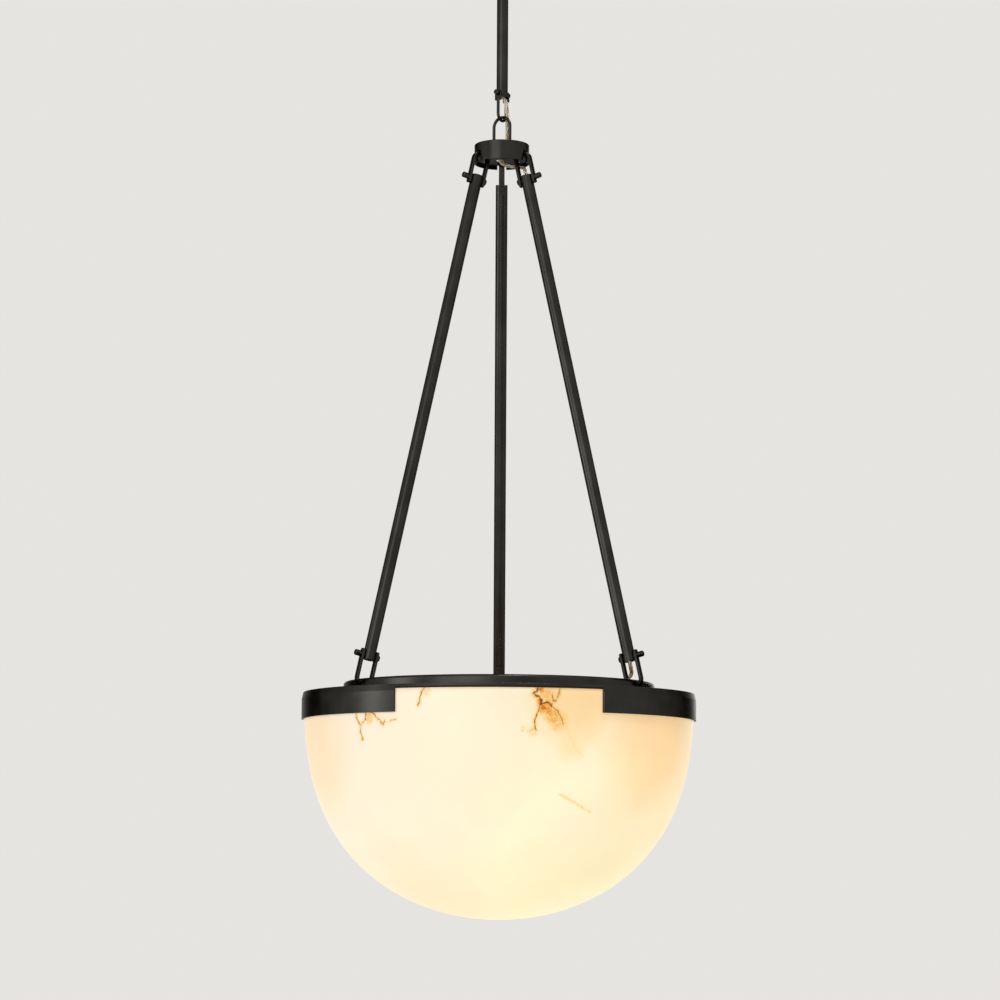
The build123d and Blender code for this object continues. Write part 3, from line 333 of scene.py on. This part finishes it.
# The veins are threads with stains beside them. A thread is its half width in millimetres, its faintness
# (0 is dark, 0.8 hardly shows, and past 1.1 only its amber fringe does) and a run of points: azimuth in
# degrees, depth under the rim in millimetres.
THREADS = (
    # In front, under the rim and right of the middle.
    (1.6, 0.0, ((279.5, 7), (280.6, 5), (280.9, 0))),
    (2.2, 0.0, ((280.2, 9.5), (281.3, 12), (281.8, 15.5), (281.6, 20))),
    (1.6, 0.1, ((281.6, 19), (283.3, 18), (284.2, 19), (284.6, 22))),
    (1.3, 0.3, ((284.8, 10), (285.0, 15.3), (285.9, 16.7), (286.3, 13), (287.0, 6), (287.3, 0))),
    (1.5, 0.3, ((281.6, 19), (281.2, 24.6), (280.6, 31.5), (280.0, 41.4), (280.3, 51))),
    (1.3, 0.5, ((278.7, 52), (279.6, 49.7))),
    (1.4, 0.35, ((284.6, 22), (286.7, 27.3), (287.4, 33.3), (288.4, 42.4))),
    (1.4, 2.2, ((288.4, 42.4), (290.7, 58.8), (292.4, 73), (295, 80.5))),
    # In front, at the left.
    (1.4, 0.4, ((225.2, 28), (225.4, 34), (227.1, 44.3), (226.8, 52), (227.4, 60))),
    (1.5, 0.2, ((227.1, 44.3), (229.0, 36), (229.2, 26))),
    (1.5, 0.2, ((230.4, 25), (232.9, 33), (234.2, 38), (235.1, 43), (235.8, 40))),
    (1.2, 0.6, ((238.0, 40), (239.9, 37.5))),
    (1.3, 0.3, ((248.6, 1), (247.9, 4.5), (247.5, 13), (247.3, 18), (246.8, 22))),
    # In front, low at the right.
    (1.0, 0.8, ((288.8, 127), (294.1, 136), (300.1, 147))),
    # Round the sides and the back.
    (1.8, 0.1, ((20, -4), (21.5, 18), (19.8, 34), (22.4, 58), (21.0, 80))),
    (1.4, 0.3, ((19.8, 34), (16.4, 46), (15.2, 60))),
    (1.7, 0.1, ((118, -4), (119.4, 22), (117.2, 44), (118.8, 70))),
    (1.4, 0.3, ((119.4, 22), (123.0, 36), (124.2, 56))),
    (1.5, 0.3, ((158, 60), (161.4, 78), (160.2, 104), (164.0, 126))),
    (1.5, 0.4, ((66, 40), (63.0, 58), (64.6, 82))),
)
# A stain is its place, in the same way, its radius in millimetres and its strength.
STAINS = (
    (281.9, 3, 5, 1.3), (283.0, 24, 12, 1.2), (285.0, 33, 15, 0.55), (283.6, 9, 15, 0.35),
    (286.6, 40, 17, 0.28), (281.5, 17, 6, 1.0), (284.4, 21, 6, 0.9), (279.6, 53, 9, 0.22),
    (276.8, 49.5, 5, 0.3), (288.4, 42, 4, 0.6), (230.2, 34, 11, 0.4), (227.4, 60, 4, 0.9),
    (227.0, 45, 6, 0.35), (235.0, 42, 5, 0.5), (249.4, 5, 9, 0.22), (247.3, 18, 4, 0.4),
    (20.5, 30, 18, 0.6), (22.0, 56, 13, 0.5), (118.5, 24, 17, 0.6), (118, 60, 12, 0.4),
    (161, 90, 18, 0.45), (64, 60, 15, 0.5),
)
# Wide clouds of the same iron, with no edge, are given as the stains are.
CLOUDS = (
    (292, 14, 75, 0.16), (291, 66, 30, 0.10), (322, 50, 120, 0.12), (200, 70, 110, 0.10),
    (100, 90, 120, 0.14),
)


def unrolled(sizes, azimuth, depth):
    """A place on the stone's unrolled face, in metres: arc length and level."""
    turn = math.radians((azimuth + 180) % 360 - 180)
    return Vector((turn * sizes.stone_radius, STONE_RIM - depth * MM, 0))


def unrolled_by_nodes(tree, place, split, sizes):
    """The place being shaded, on the stone's unrolled face, shaken so that the threads wander."""
    turn = add_node(tree, "ShaderNodeMath", {0: split.outputs["Y"], 1: split.outputs["X"]},
                    operation="ARCTAN2")
    arc = add_node(tree, "ShaderNodeMath", {0: turn.outputs["Value"], 1: sizes.stone_radius},
                   operation="MULTIPLY")
    face = add_node(tree, "ShaderNodeCombineXYZ", {"X": arc.outputs["Value"], "Y": split.outputs["Z"]})
    shake = add_node(tree, "ShaderNodeTexNoise", {
        "Vector": place, "Scale": per(9), "Detail": 4.0, "Roughness": 0.65})
    centred = add_node(tree, "ShaderNodeVectorMath", {0: shake.outputs["Color"], 1: (0.5, 0.5, 0.5)},
                       operation="SUBTRACT")
    swing = add_node(tree, "ShaderNodeVectorMath", {0: centred.outputs["Vector"], "Scale": 7 * MM},
                     operation="SCALE")
    moved = add_node(tree, "ShaderNodeVectorMath", {0: face.outputs["Vector"], 1: swing.outputs["Vector"]},
                     operation="ADD")
    return add_node(tree, "ShaderNodeVectorMath", {0: moved.outputs["Vector"], 1: (1, 1, 0)},
                    operation="MULTIPLY").outputs["Vector"]


def distance_to_run(tree, here, start, end):
    """How far a point of the stone's unrolled face is from one straight run of a vein."""
    along = end - start
    offset = add_node(tree, "ShaderNodeVectorMath", {0: here, 1: start}, operation="SUBTRACT")
    reach = add_node(tree, "ShaderNodeVectorMath", {
        0: offset.outputs["Vector"], 1: along / along.length_squared}, operation="DOT_PRODUCT")
    share = add_node(tree, "ShaderNodeClamp", {"Value": reach.outputs["Value"]})
    nearest = add_node(tree, "ShaderNodeVectorMath", {0: along, "Scale": share.outputs["Result"]},
                       operation="SCALE")
    return add_node(tree, "ShaderNodeVectorMath", {
        0: offset.outputs["Vector"], 1: nearest.outputs["Vector"]}, operation="DISTANCE").outputs["Value"]


def thread_distances(tree, here, sizes):
    """How far each run of each thread is, in the thread's half widths, a faint one counting as further."""
    for half_width, faintness, points in THREADS:
        places = [unrolled(sizes, *point) for point in points]
        for start, end in zip(places, places[1:]):
            yield add_node(tree, "ShaderNodeMath", {
                0: distance_to_run(tree, here, start, end), 1: 1 / (half_width * MM), 2: faintness},
                operation="MULTIPLY_ADD").outputs["Value"]


def spots(tree, here, sizes, group):
    """How strong each of a group of round spots is, fading from its middle out to its radius."""
    for azimuth, depth, radius, strength in group:
        away = add_node(tree, "ShaderNodeVectorMath", {0: here, 1: unrolled(sizes, azimuth, depth)},
                        operation="DISTANCE")
        yield add_node(tree, "ShaderNodeMapRange", {
            "Value": away.outputs["Value"], "From Min": radius * MM, "From Max": radius * MM * 0.25,
            "To Min": 0.0, "To Max": strength}, interpolation_type="SMOOTHSTEP").outputs["Result"]


def lamp_shares(tree, place):
    """What each lamp gives to a place, falling off with the square of the distance."""
    for azimuth, reach in LAMPS:
        turn = math.radians(azimuth)
        lamp = Vector((LAMP_CIRCLE * math.cos(turn), LAMP_CIRCLE * math.sin(turn), LAMP_LEVEL))
        away = add_node(tree, "ShaderNodeVectorMath", {0: place, 1: lamp}, operation="DISTANCE")
        share = add_node(tree, "ShaderNodeMath", {0: reach * MM, 1: away.outputs["Value"]},
                         operation="DIVIDE")
        yield add_node(tree, "ShaderNodeMath", {0: share.outputs["Value"], 1: 2.0},
                       operation="POWER").outputs["Value"]


def clouded_stone(tree, place, split, colours):
    """The colour of the stone before its veins, and the wisps in it."""
    # Wide drifts of about 170 mm, with wisps of about 45 mm drawn out in them.
    drift = add_node(tree, "ShaderNodeTexNoise", {
        "Vector": place, "Scale": per(170), "Detail": 3.0, "Distortion": 0.8})
    wisps = add_node(tree, "ShaderNodeTexNoise", {
        "Vector": place, "Scale": per(45), "Detail": 6.0, "Roughness": 0.62, "Distortion": 1.6})
    cloud = add_node(tree, "ShaderNodeMix", {
        "Factor": 0.4, "A": drift.outputs["Fac"], "B": wisps.outputs["Fac"]})
    # The stone is honey coloured towards +X, and towards the foot it is honey coloured as painted shade,
    # darker and warmer at the bottom.
    side = add_node(tree, "ShaderNodeMapRange", {
        "Value": split.outputs["X"], "From Min": -220 * MM, "From Max": 220 * MM,
        "To Min": -0.5, "To Max": 0.34})
    foot = add_node(tree, "ShaderNodeMapRange", {
        "Value": split.outputs["Z"], "From Min": STONE_RIM - 150 * MM, "From Max": STONE_FOOT,
        "To Min": 0.0, "To Max": 0.4})
    side_tone_and_foot_shade = add_node(tree, "ShaderNodeMath", {0: side.outputs["Result"], 1: foot.outputs["Result"]},
                    operation="ADD")
    honey = add_node(tree, "ShaderNodeMath", {0: cloud.outputs["Result"], 1: side_tone_and_foot_shade.outputs["Value"]},
                     operation="ADD", use_clamp=True)
    body = add_node(tree, "ShaderNodeMix", {
        "Factor": honey.outputs["Value"], "A": tuple(colours.stone_cool), "B": tuple(colours.stone_warm)},
        data_type="RGBA")
    return body.outputs["Result"], wisps.outputs["Fac"]


def veined_stone(tree, place, split, body, sizes, colours):
    """The colour of the stone with its veins: dark threads, and amber stains beside them."""
    here = unrolled_by_nodes(tree, place, split, sizes)
    near = combined(tree, "MINIMUM", thread_distances(tree, here, sizes))
    # Threads and stains break up in patches of about 5 mm.
    patches = add_node(tree, "ShaderNodeTexNoise", {
        "Vector": place, "Scale": per(5), "Detail": 4.0, "Roughness": 0.7, "Distortion": 1.0})
    broken = add_node(tree, "ShaderNodeMapRange", {
        "Value": patches.outputs["Fac"], "From Min": 0.38, "From Max": 0.6, "To Min": 0.3, "To Max": 1.2})
    thread = add_node(tree, "ShaderNodeMapRange", {
        "Value": near, "From Min": 1.1, "From Max": 0.1, "To Min": 0.0, "To Max": 0.9},
        interpolation_type="SMOOTHSTEP")
    bold = add_node(tree, "ShaderNodeMath", {0: thread.outputs["Result"], 1: broken.outputs["Result"]},
                    operation="MULTIPLY")
    # Iron from a thread colours the stone on both sides of it, out to 3.6 of its half widths.
    fringe = add_node(tree, "ShaderNodeMapRange", {
        "Value": near, "From Min": 3.6, "From Max": 0.5, "To Min": 0.0, "To Max": 0.3},
        interpolation_type="SMOOTHSTEP")
    stained = combined(tree, "MAXIMUM", spots(tree, here, sizes, STAINS))
    amber = add_node(tree, "ShaderNodeMath", {0: fringe.outputs["Result"], 1: stained}, operation="MAXIMUM")
    clouded = combined(tree, "MAXIMUM", spots(tree, here, sizes, CLOUDS))
    patchy = add_node(tree, "ShaderNodeMath", {
        0: amber.outputs["Value"], 1: broken.outputs["Result"], 2: clouded}, operation="MULTIPLY_ADD")
    # Light is tinted by the depth of iron that it passes, so each tint is a power of its full colour.
    for tint, depth in ((colours.stain, patchy), (colours.vein, bold)):
        iron = add_node(tree, "ShaderNodeGamma", {"Color": tuple(tint), "Gamma": depth.outputs["Value"]})
        body = add_node(tree, "ShaderNodeMix", {"Factor": 1.0, "A": body, "B": iron.outputs["Color"]},
                        data_type="RGBA", blend_type="MULTIPLY").outputs["Result"]
    return body


def lamplight(tree, place, wisps):
    """How bright the stone glows: most beside a lamp, and little on the inside."""
    glow = combined(tree, "ADD", lamp_shares(tree, place))
    bright = add_node(tree, "ShaderNodeMapRange", {
        "Value": glow, "From Min": 0.9, "From Max": 2.1, "To Min": 0.7, "To Max": 1.3})
    # The wisps let through a little more of it or a little less.
    haze = add_node(tree, "ShaderNodeMapRange", {
        "Value": wisps, "From Min": 0.35, "From Max": 0.65, "To Min": 0.95, "To Max": 1.04})
    held = add_node(tree, "ShaderNodeMath", {0: bright.outputs["Result"], 1: haze.outputs["Result"]},
                    operation="MULTIPLY")
    # The inside shows the lamps' own light, so only the outside, which faces away from a place above the
    # bowl, glows in full.
    flat = add_node(tree, "ShaderNodeNewGeometry")
    outward = add_node(tree, "ShaderNodeVectorMath", {0: place, 1: (0, 0, STONE_RIM + 50 * MM)},
                       operation="SUBTRACT")
    facing = add_node(tree, "ShaderNodeVectorMath", {
        0: outward.outputs["Vector"], 1: flat.outputs["Normal"]}, operation="DOT_PRODUCT")
    outside = add_node(tree, "ShaderNodeMapRange", {
        "Value": facing.outputs["Value"], "From Min": -1 * MM, "From Max": 1 * MM,
        "To Min": 0.4, "To Max": 1.0})
    return add_node(tree, "ShaderNodeMath", {0: held.outputs["Value"], 1: outside.outputs["Result"]},
                    operation="MULTIPLY").outputs["Value"]


def alabaster(sizes, colours):
    """Alabaster, turned and satin polished, lit from inside: clouded cream with amber-brown veins."""
    material, tree, shader, place = new_material(
        "Alabaster, satin polished", {"Roughness": 0.38, "IOR": 1.52, "Emission Strength": 0.64})
    split = add_node(tree, "ShaderNodeSeparateXYZ", {"Vector": place})
    body, wisps = clouded_stone(tree, place, split, colours)
    veined = veined_stone(tree, place, split, body, sizes, colours)
    tree.links.new(veined, shader.inputs["Base Color"])
    # The glow comes out through the same clouds and veins.
    tinted = add_node(tree, "ShaderNodeMix", {"Factor": 1.0, "A": veined, "B": tuple(colours.glow)},
                      data_type="RGBA", blend_type="MULTIPLY")
    lit = add_node(tree, "ShaderNodeVectorMath", {
        0: tinted.outputs["Result"], "Scale": lamplight(tree, place, wisps)}, operation="SCALE")
    tree.links.new(lit.outputs["Vector"], shader.inputs["Emission Color"])
    # Polish leaves a fine lap texture of about 1.5 mm.
    lap = add_node(tree, "ShaderNodeTexNoise", {"Vector": place, "Scale": per(1.5), "Detail": 2.0})
    bump = add_node(tree, "ShaderNodeBump", {
        "Height": lap.outputs["Fac"], "Strength": 0.06, "Distance": 0.05 * MM})
    tree.links.new(bump.outputs["Normal"], shader.inputs["Normal"])
    return material


# --- Camera and stage -------------------------------------------------------------------------------

class PENDANT_OT_camera(bpy.types.Operator):
    """Sets the camera at the photograph's viewing angle"""
    bl_idname = "pendant.camera"
    bl_label = "Camera"

    def execute(self, context):
        lens = bpy.data.cameras.new("Camera")
        lens.sensor_width, lens.lens = 36, 113.35
        camera = bpy.data.objects.new("Camera", lens)
        context.scene.collection.objects.link(camera)
        # The camera stands 4 m in front and a little under the band, and looks up at the lamp.
        pitch, roll, distance, drop = math.radians(96.77), math.radians(0.308), 4, 226.2 * MM
        turn = Euler((pitch, 0, 0)).to_matrix() @ Matrix.Rotation(roll, 3, "Z")
        camera.matrix_world = Matrix.Translation((0, -distance, BAND_TOP - drop)) @ turn.to_4x4()
        context.scene.camera = camera
        return {"FINISHED"}


def seen_directly(tree):
    """1 for rays from the camera, or by way of metal and glass, and 0 for the rays that carry light."""
    rays = add_node(tree, "ShaderNodeLightPath")
    return combined(tree, "MAXIMUM", (
        rays.outputs[kind] for kind in ("Is Camera Ray", "Is Glossy Ray", "Is Transmission Ray")))


def painted_floor(colours):
    """Matt emulsion: an even pale grey with a hardly visible drift."""
    material, tree, shader, place = new_material("Painted floor", {"Roughness": 0.9})
    drift = add_node(tree, "ShaderNodeTexNoise", {"Vector": place, "Scale": per(600), "Detail": 2.0})
    light = tuple(colours.floor)
    tone = add_node(tree, "ShaderNodeMix", {
        "Factor": drift.outputs["Fac"], "A": darkened(light, 0.97), "B": light}, data_type="RGBA")
    tree.links.new(tone.outputs["Result"], shader.inputs["Base Color"])
    # It is seen pale and takes the pendant's shadow, but gives the pendant no more light.
    lift = add_node(tree, "ShaderNodeMath", {0: seen_directly(tree), 1: FLOOR_LIFT}, operation="MULTIPLY")
    tree.links.new(tone.outputs["Result"], shader.inputs["Emission Color"])
    tree.links.new(lift.outputs["Value"], shader.inputs["Emission Strength"])
    return material


def pale_surroundings():
    """A world that is seen pale and gives a soft light from all round."""
    world = bpy.data.worlds.new("Studio")
    world.use_nodes = True
    tree = world.node_tree
    tree.nodes.clear()
    soft = add_node(tree, "ShaderNodeBackground", {"Color": linear("FFFDFA"), "Strength": 0.3})
    pale = add_node(tree, "ShaderNodeBackground", {"Color": linear("E6E4E1"), "Strength": 1.0})
    both = add_node(tree, "ShaderNodeMixShader", {
        0: seen_directly(tree), 1: soft.outputs["Background"], 2: pale.outputs["Background"]})
    add_node(tree, "ShaderNodeOutputWorld", {"Surface": both.outputs["Shader"]})
    return world


class PENDANT_OT_stage(bpy.types.Operator):
    """Lays the pale floor and sets the soft studio lights and the pale surroundings"""
    bl_idname = "pendant.stage"
    bl_label = "Stage and lights"

    def execute(self, context):
        scene = context.scene
        scene.view_settings.view_transform = "Standard"
        corners = [(x * FLOOR_HALF, y * FLOOR_HALF, -scene.pendant_sizes.floor_drop)
                   for x, y in ((-1, -1), (1, -1), (1, 1), (-1, 1))]
        mesh = mesh_of("floor", corners, [(0, 1, 2, 3)])
        mesh.materials.append(painted_floor(scene.pendant_colours))
        floor = bpy.data.objects.new("floor", mesh)
        scene.collection.objects.link(floor)
        for name, (stand, size, power) in STUDIO_LIGHTS.items():
            light = bpy.data.lights.new(name, "AREA")
            light.shape, light.size, light.energy = "DISK", size, power
            lamp = bpy.data.objects.new(name, light)
            lamp.location = stand
            lamp.rotation_euler = (STUDIO_AIM - lamp.location).to_track_quat("-Z", "Y").to_euler()
            scene.collection.objects.link(lamp)
        scene.world = pale_surroundings()
        return {"FINISHED"}


# --- The lead ---------------------------------------------------------------------------------------

def smooth_line(points):
    """The smooth line that a route's points steer, read back as places along it."""
    curve = bpy.data.curves.new("route", "CURVE")
    curve.dimensions, curve.resolution_u = "3D", 40
    spline = curve.splines.new("NURBS")
    spline.points.add(len(points) - 1)
    for knot, point in zip(spline.points, points):
        knot.co = (*point, 1)
    spline.order_u, spline.use_endpoint_u = 3, True
    carrier = bpy.data.objects.new("route", curve)
    mesh = bpy.data.meshes.new_from_object(carrier)
    line = [v.co.copy() for v in mesh.vertices]
    bpy.data.objects.remove(carrier)
    bpy.data.curves.remove(curve)
    bpy.data.meshes.remove(mesh)
    return line


def carried_frames(line):
    """At each place of a line: the place, two directions square to it, and the length so far."""
    found, travelled, across = [], 0.0, None
    for i, here in enumerate(line):
        ahead = (line[min(i + 1, len(line) - 1)] - line[max(i - 1, 0)]).normalized()
        if across is None:
            across = ahead.orthogonal().normalized()
        else:
            travelled += (here - line[i - 1]).length
            across = (across - ahead * across.dot(ahead)).normalized()
        found.append((here, across, ahead.cross(across), travelled))
    return found


def tube_mesh(name, line, radius, sides):
    """A tube along a line, closed at both ends."""
    vertices, faces = [], []
    for here, across, other, _ in carried_frames(line):
        for i in range(sides):
            angle = math.tau * i / sides
            vertices.append(here + radius * (math.cos(angle) * across + math.sin(angle) * other))
    for row in range(len(line) - 1):
        for i in range(sides):
            j = (i + 1) % sides
            faces.append([row * sides + i, row * sides + j, (row + 1) * sides + j, (row + 1) * sides + i])
    faces.append(list(range(sides))[::-1])
    faces.append(list(range(len(vertices) - sides, len(vertices))))
    return mesh_of(name, vertices, faces)


def twisted(line, radius, lay, phase):
    """The line of one core, which turns about the lead's own line once in each lay."""
    found = []
    for here, across, other, travelled in carried_frames(line):
        angle = math.tau * travelled / lay + phase
        found.append(here + radius * (math.cos(angle) * across + math.sin(angle) * other))
    return found


def lead_routes():
    """The points that steer the lead's line past the link, through the hub and into the bowl."""
    azimuth = ARM_AZIMUTHS["right"]
    spin = Matrix.Rotation(math.radians(azimuth), 3, "Z")

    def beside_bail(level):
        return Vector((6.9 * MM, 1.2 * MM, level))

    def in_bushing(level):
        return Vector((-2 * MM, -4 * MM, level))

    def in_bowl(radius, across, height):
        return spin @ Vector((radius * MM, across * MM, BAND_TOP + height * MM))

    into_hub = beside_bail(HUB_TOP + 1 * MM)
    mouth = -ARM_LENGTH / MM + 30.5
    return {
        "lead_link_upper": [
            Vector((0, 0, ROD_FOOT + 2 * MM)), Vector((4.5 * MM, 0.8 * MM, ROD_FOOT - 3 * MM)),
            beside_bail(LINK_LEVEL + 9 * MM), beside_bail(LINK_LEVEL)],
        "lead_link_lower": [beside_bail(LINK_LEVEL), beside_bail(LINK_LEVEL - 18 * MM), into_hub],
        "lead_hub": [
            into_hub, beside_bail(HUB_TOP - 5.5 * MM),
            in_bushing(PLATE_TOP + 4.5 * MM), in_bushing(HUB_FOOT - 2.5 * MM),
            from_arm(-7.5, 13.5, -12, azimuth), from_arm(0, 0, -21.5, azimuth),
            from_arm(0, 0, -44.5, azimuth)],
        # The first two points lean a little, so that the line passes the ferrule's bore near its middle.
        "lead_bowl": [
            from_arm(0, -0.3, mouth + 15, azimuth), from_arm(0, -1.2, mouth - 9, azimuth),
            from_arm(-8, 13.5, mouth - 15, azimuth), in_bowl(168.1, 12, 9), in_bowl(123.3, 9, -10.5),
            in_bowl(79.5, 3, -10.5), in_bowl(56, 0, 5), in_bowl(38, 0, 5)],
    }


class PENDANT_OT_lead(bpy.types.Operator):
    """Makes the mains lead: a clear jacket over three twisted cores, where it shows"""
    bl_idname = "pendant.lead"
    bl_label = "Mains lead"

    def execute(self, context):
        sizes = context.scene.pendant_sizes
        jacket = clear_jacket()
        # Bare copper, its tinned neighbour and a white core give the lead its pink and silver streaks.
        cores = [plated_metal("Copper, stranded", "E6B98A", 0.32, 0.5),
                 plated_metal("Tinned copper", "F4F3F0", 0.3, 0.5),
                 moulded("White PVC core", "F2EEE6", 0.4, 1.0, 0.01)]
        jacket_sides, core_sides = 24, 12
        # Three cores that touch lie their diameter / sqrt(3) from the lead's line; these lie 12% looser.
        spread = 1.12 * sizes.core_diameter / math.sqrt(3)
        bodies = {"lead_hub": "hub", "lead_bowl": "bowl_frame"}
        stands_for = {"lead_link_upper": "supply_cord_link_upper",
                      "lead_link_lower": "supply_cord_link_lower",
                      "lead_hub": "supply_cord_hub", "lead_bowl": "supply_cord_bowl"}
        crossings = {"lead_link_upper": ("ceiling_mount", "shackle"), "lead_link_lower": ("shackle", "hub")}
        for name, points in lead_routes().items():
            line, body = smooth_line(points), bodies.get(name)
            made = [piece(name, tube_mesh(name, line, sizes.lead_diameter / 2, jacket_sides), jacket, body)]
            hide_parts(stands_for[name])
            for i, material in enumerate(cores):
                core = twisted(line, spread, sizes.core_lay, math.tau * i / len(cores))
                mesh = tube_mesh(name, core, sizes.core_diameter / 2, core_sides)
                made.append(piece(f"{name}_core_{i + 1}", mesh, material, body))
            if name in crossings:
                for part in made:
                    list(crossings[name])
                    tuple(points[0])
                    tuple(points[-1])
                    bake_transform(part)
        dress(jacket, "supply_cord_rod", "supply_cord_arm")
        return {"FINISHED"}


# --- The bowl ---------------------------------------------------------------------------------------

def stone_profile(sizes, inset, rows):
    """The bowl's outline from under the rim to the foot, on its outside or an inset within it."""
    radius, depth = sizes.stone_radius - inset, EQUATOR_LEVEL - STONE_FOOT - inset
    first = math.asin(((EQUATOR_LEVEL - STONE_RIM + RIM_EASE) / depth) ** (BOWL_FULLNESS / 2))
    found = []
    for row in range(rows + 1):
        angle = first + (math.pi / 2 - first) * row / rows
        share = math.sin(angle) ** (2 / BOWL_FULLNESS)
        found.append((radius * math.cos(angle), EQUATOR_LEVEL - depth * share))
    found[-1] = (0.0, found[-1][1])
    return found


class PENDANT_OT_bowl(bpy.types.Operator):
    """Turns the stone bowl, finer than the frame's own, and polishes it"""
    bl_idname = "pendant.bowl"
    bl_label = "Stone bowl"

    def execute(self, context):
        sizes, colours = context.scene.pendant_sizes, context.scene.pendant_colours
        outer, inner = stone_profile(sizes, 0, rows=96), stone_profile(sizes, sizes.stone_wall, rows=64)
        rim = [(inner[0][0] + RIM_EASE, STONE_RIM), (outer[0][0] - RIM_EASE, STONE_RIM)]
        vertices, faces = turned(inner[::-1] + rim + outer, sizes.stone_columns)
        stone = piece("stone_bowl", mesh_of("stone_bowl", vertices, faces), alabaster(sizes, colours),
                      "bowl_frame")
        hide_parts("alabaster_bowl")
        return {"FINISHED"}


# --- Metalwork --------------------------------------------------------------------------------------

class PENDANT_OT_metalwork(bpy.types.Operator):
    """Finishes the rod, link, hub, arms, straps, ring and band in bronze lacquer"""
    bl_idname = "pendant.metalwork"
    bl_label = "Bronze metalwork"

    def execute(self, context):
        bronze = bronze_lacquer(context.scene.pendant_colours)
        dress(bronze, "canopy", "canopy_collar", "drop_rod", "shackle_screws", "top_shackle", "hub_bail",
              "hub_cup", "outer_band", "hanging_ring")
        for arm in ARM_AZIMUTHS:
            dress(bronze, f"upper_strap_{arm}", f"arm_tube_{arm}", f"knob_pins_{arm}", f"button_pins_{arm}",
                  f"lower_strap_{arm}")
        # The plate is duller and darker than the cup it sits in; its matt black is painted shade for the
        # dark inside of the hub seen from below.
        dress(moulded("Powder coat, matt black", "121212", 0.75, 1.2), "hub_plate")
        # Zinc is cool and pale on the fixings that are mostly hidden.
        dress(plated_metal("Steel, zinc plated", "BDBDB8", 0.34), "mounting_crossbar", "canopy_nipple",
              "nipple_locknut", "bail_nuts", "hub_plate_screws", "ring_screws", "spider_screws",
              "holder_nipples", "holder_nuts")
        # Blackened, the small parts beside the lacquer hardly catch the light.
        dress(plated_metal("Steel, blackened", "2C2C2C", 0.5), "rim_screws",
              *[f"arm_ferrules_{arm}" for arm in ARM_AZIMUTHS])
        dress(plated_metal("Brass, drawn", "C9A55A", 0.3), "rim_inserts", "earth_screw")
        # Nickel makes the bushing the one bright point under the hub.
        dress(plated_metal("Nickel, bright plated", "F2F2F2", 0.22, 4.0), "cord_bushing")
        return {"FINISHED"}


class PENDANT_OT_lamp_gear(bpy.types.Operator):
    """Finishes the lampholders, lamps, spider and junction box inside the bowl"""
    bl_idname = "pendant.lamp_gear"
    bl_label = "Lamp gear"

    def execute(self, context):
        # A soft warm white, which gives the lamps' light back.
        dress(moulded("White powder coat on steel", "DEDAD0", 0.5, 1.2), "lamp_spider", "junction_box",
              "junction_lid")
        # Phenolic has a low black gloss, nylon is white and a little waxy, and rubber is black and dull.
        dress(moulded("Phenolic, moulded black", "1C1C1C", 0.38, 2.0), "lampholders", "cord_gland")
        dress(moulded("Nylon, moulded white", "E8E6E0", 0.42, 1.5), "ceiling_terminal_block",
              "bowl_terminal_block")
        dress(moulded("Rubber, moulded black", "1A1A1A", 0.7, 0.9), "rim_gasket", "cord_grommet")
        dress(moulded("White PVC wire", "E6E0D4", 0.4, 1.0, 0.01), "lamp_wires")
        dress(opal_lamp(), "lamps")
        return {"FINISHED"}


class PENDANT_PT_panel(bpy.types.Panel):
    """Lists the pieces of the pendant, with their sizes and colours"""
    bl_idname = "PENDANT_PT_panel"
    bl_label = "Alabaster Bowl Pendant"
    bl_space_type = "VIEW_3D"
    bl_region_type = "UI"
    bl_category = "Pendant"

    def draw(self, context):
        for step in STEPS:
            self.layout.operator(step.bl_idname)
        for group in (context.scene.pendant_sizes, context.scene.pendant_colours):
            for name in group.__annotations__:
                self.layout.prop(group, name)


STEPS = (PENDANT_OT_camera, PENDANT_OT_lead, PENDANT_OT_stage, PENDANT_OT_bowl, PENDANT_OT_metalwork,
         PENDANT_OT_lamp_gear)
CLASSES = (PendantSizes, PendantColours, *STEPS, PENDANT_PT_panel)


def register():
    for item in CLASSES:
        bpy.utils.register_class(item)
    bpy.types.Scene.pendant_sizes = PointerProperty(type=PendantSizes)
    bpy.types.Scene.pendant_colours = PointerProperty(type=PendantColours)


def unregister():
    del bpy.types.Scene.pendant_colours
    del bpy.types.Scene.pendant_sizes
    for item in reversed(CLASSES):
        bpy.utils.unregister_class(item)


def main():
    register()
    for step in STEPS:
        group, name = step.bl_idname.split(".")
        getattr(getattr(bpy.ops, group), name)()


if __name__ == "__main__":
    main()
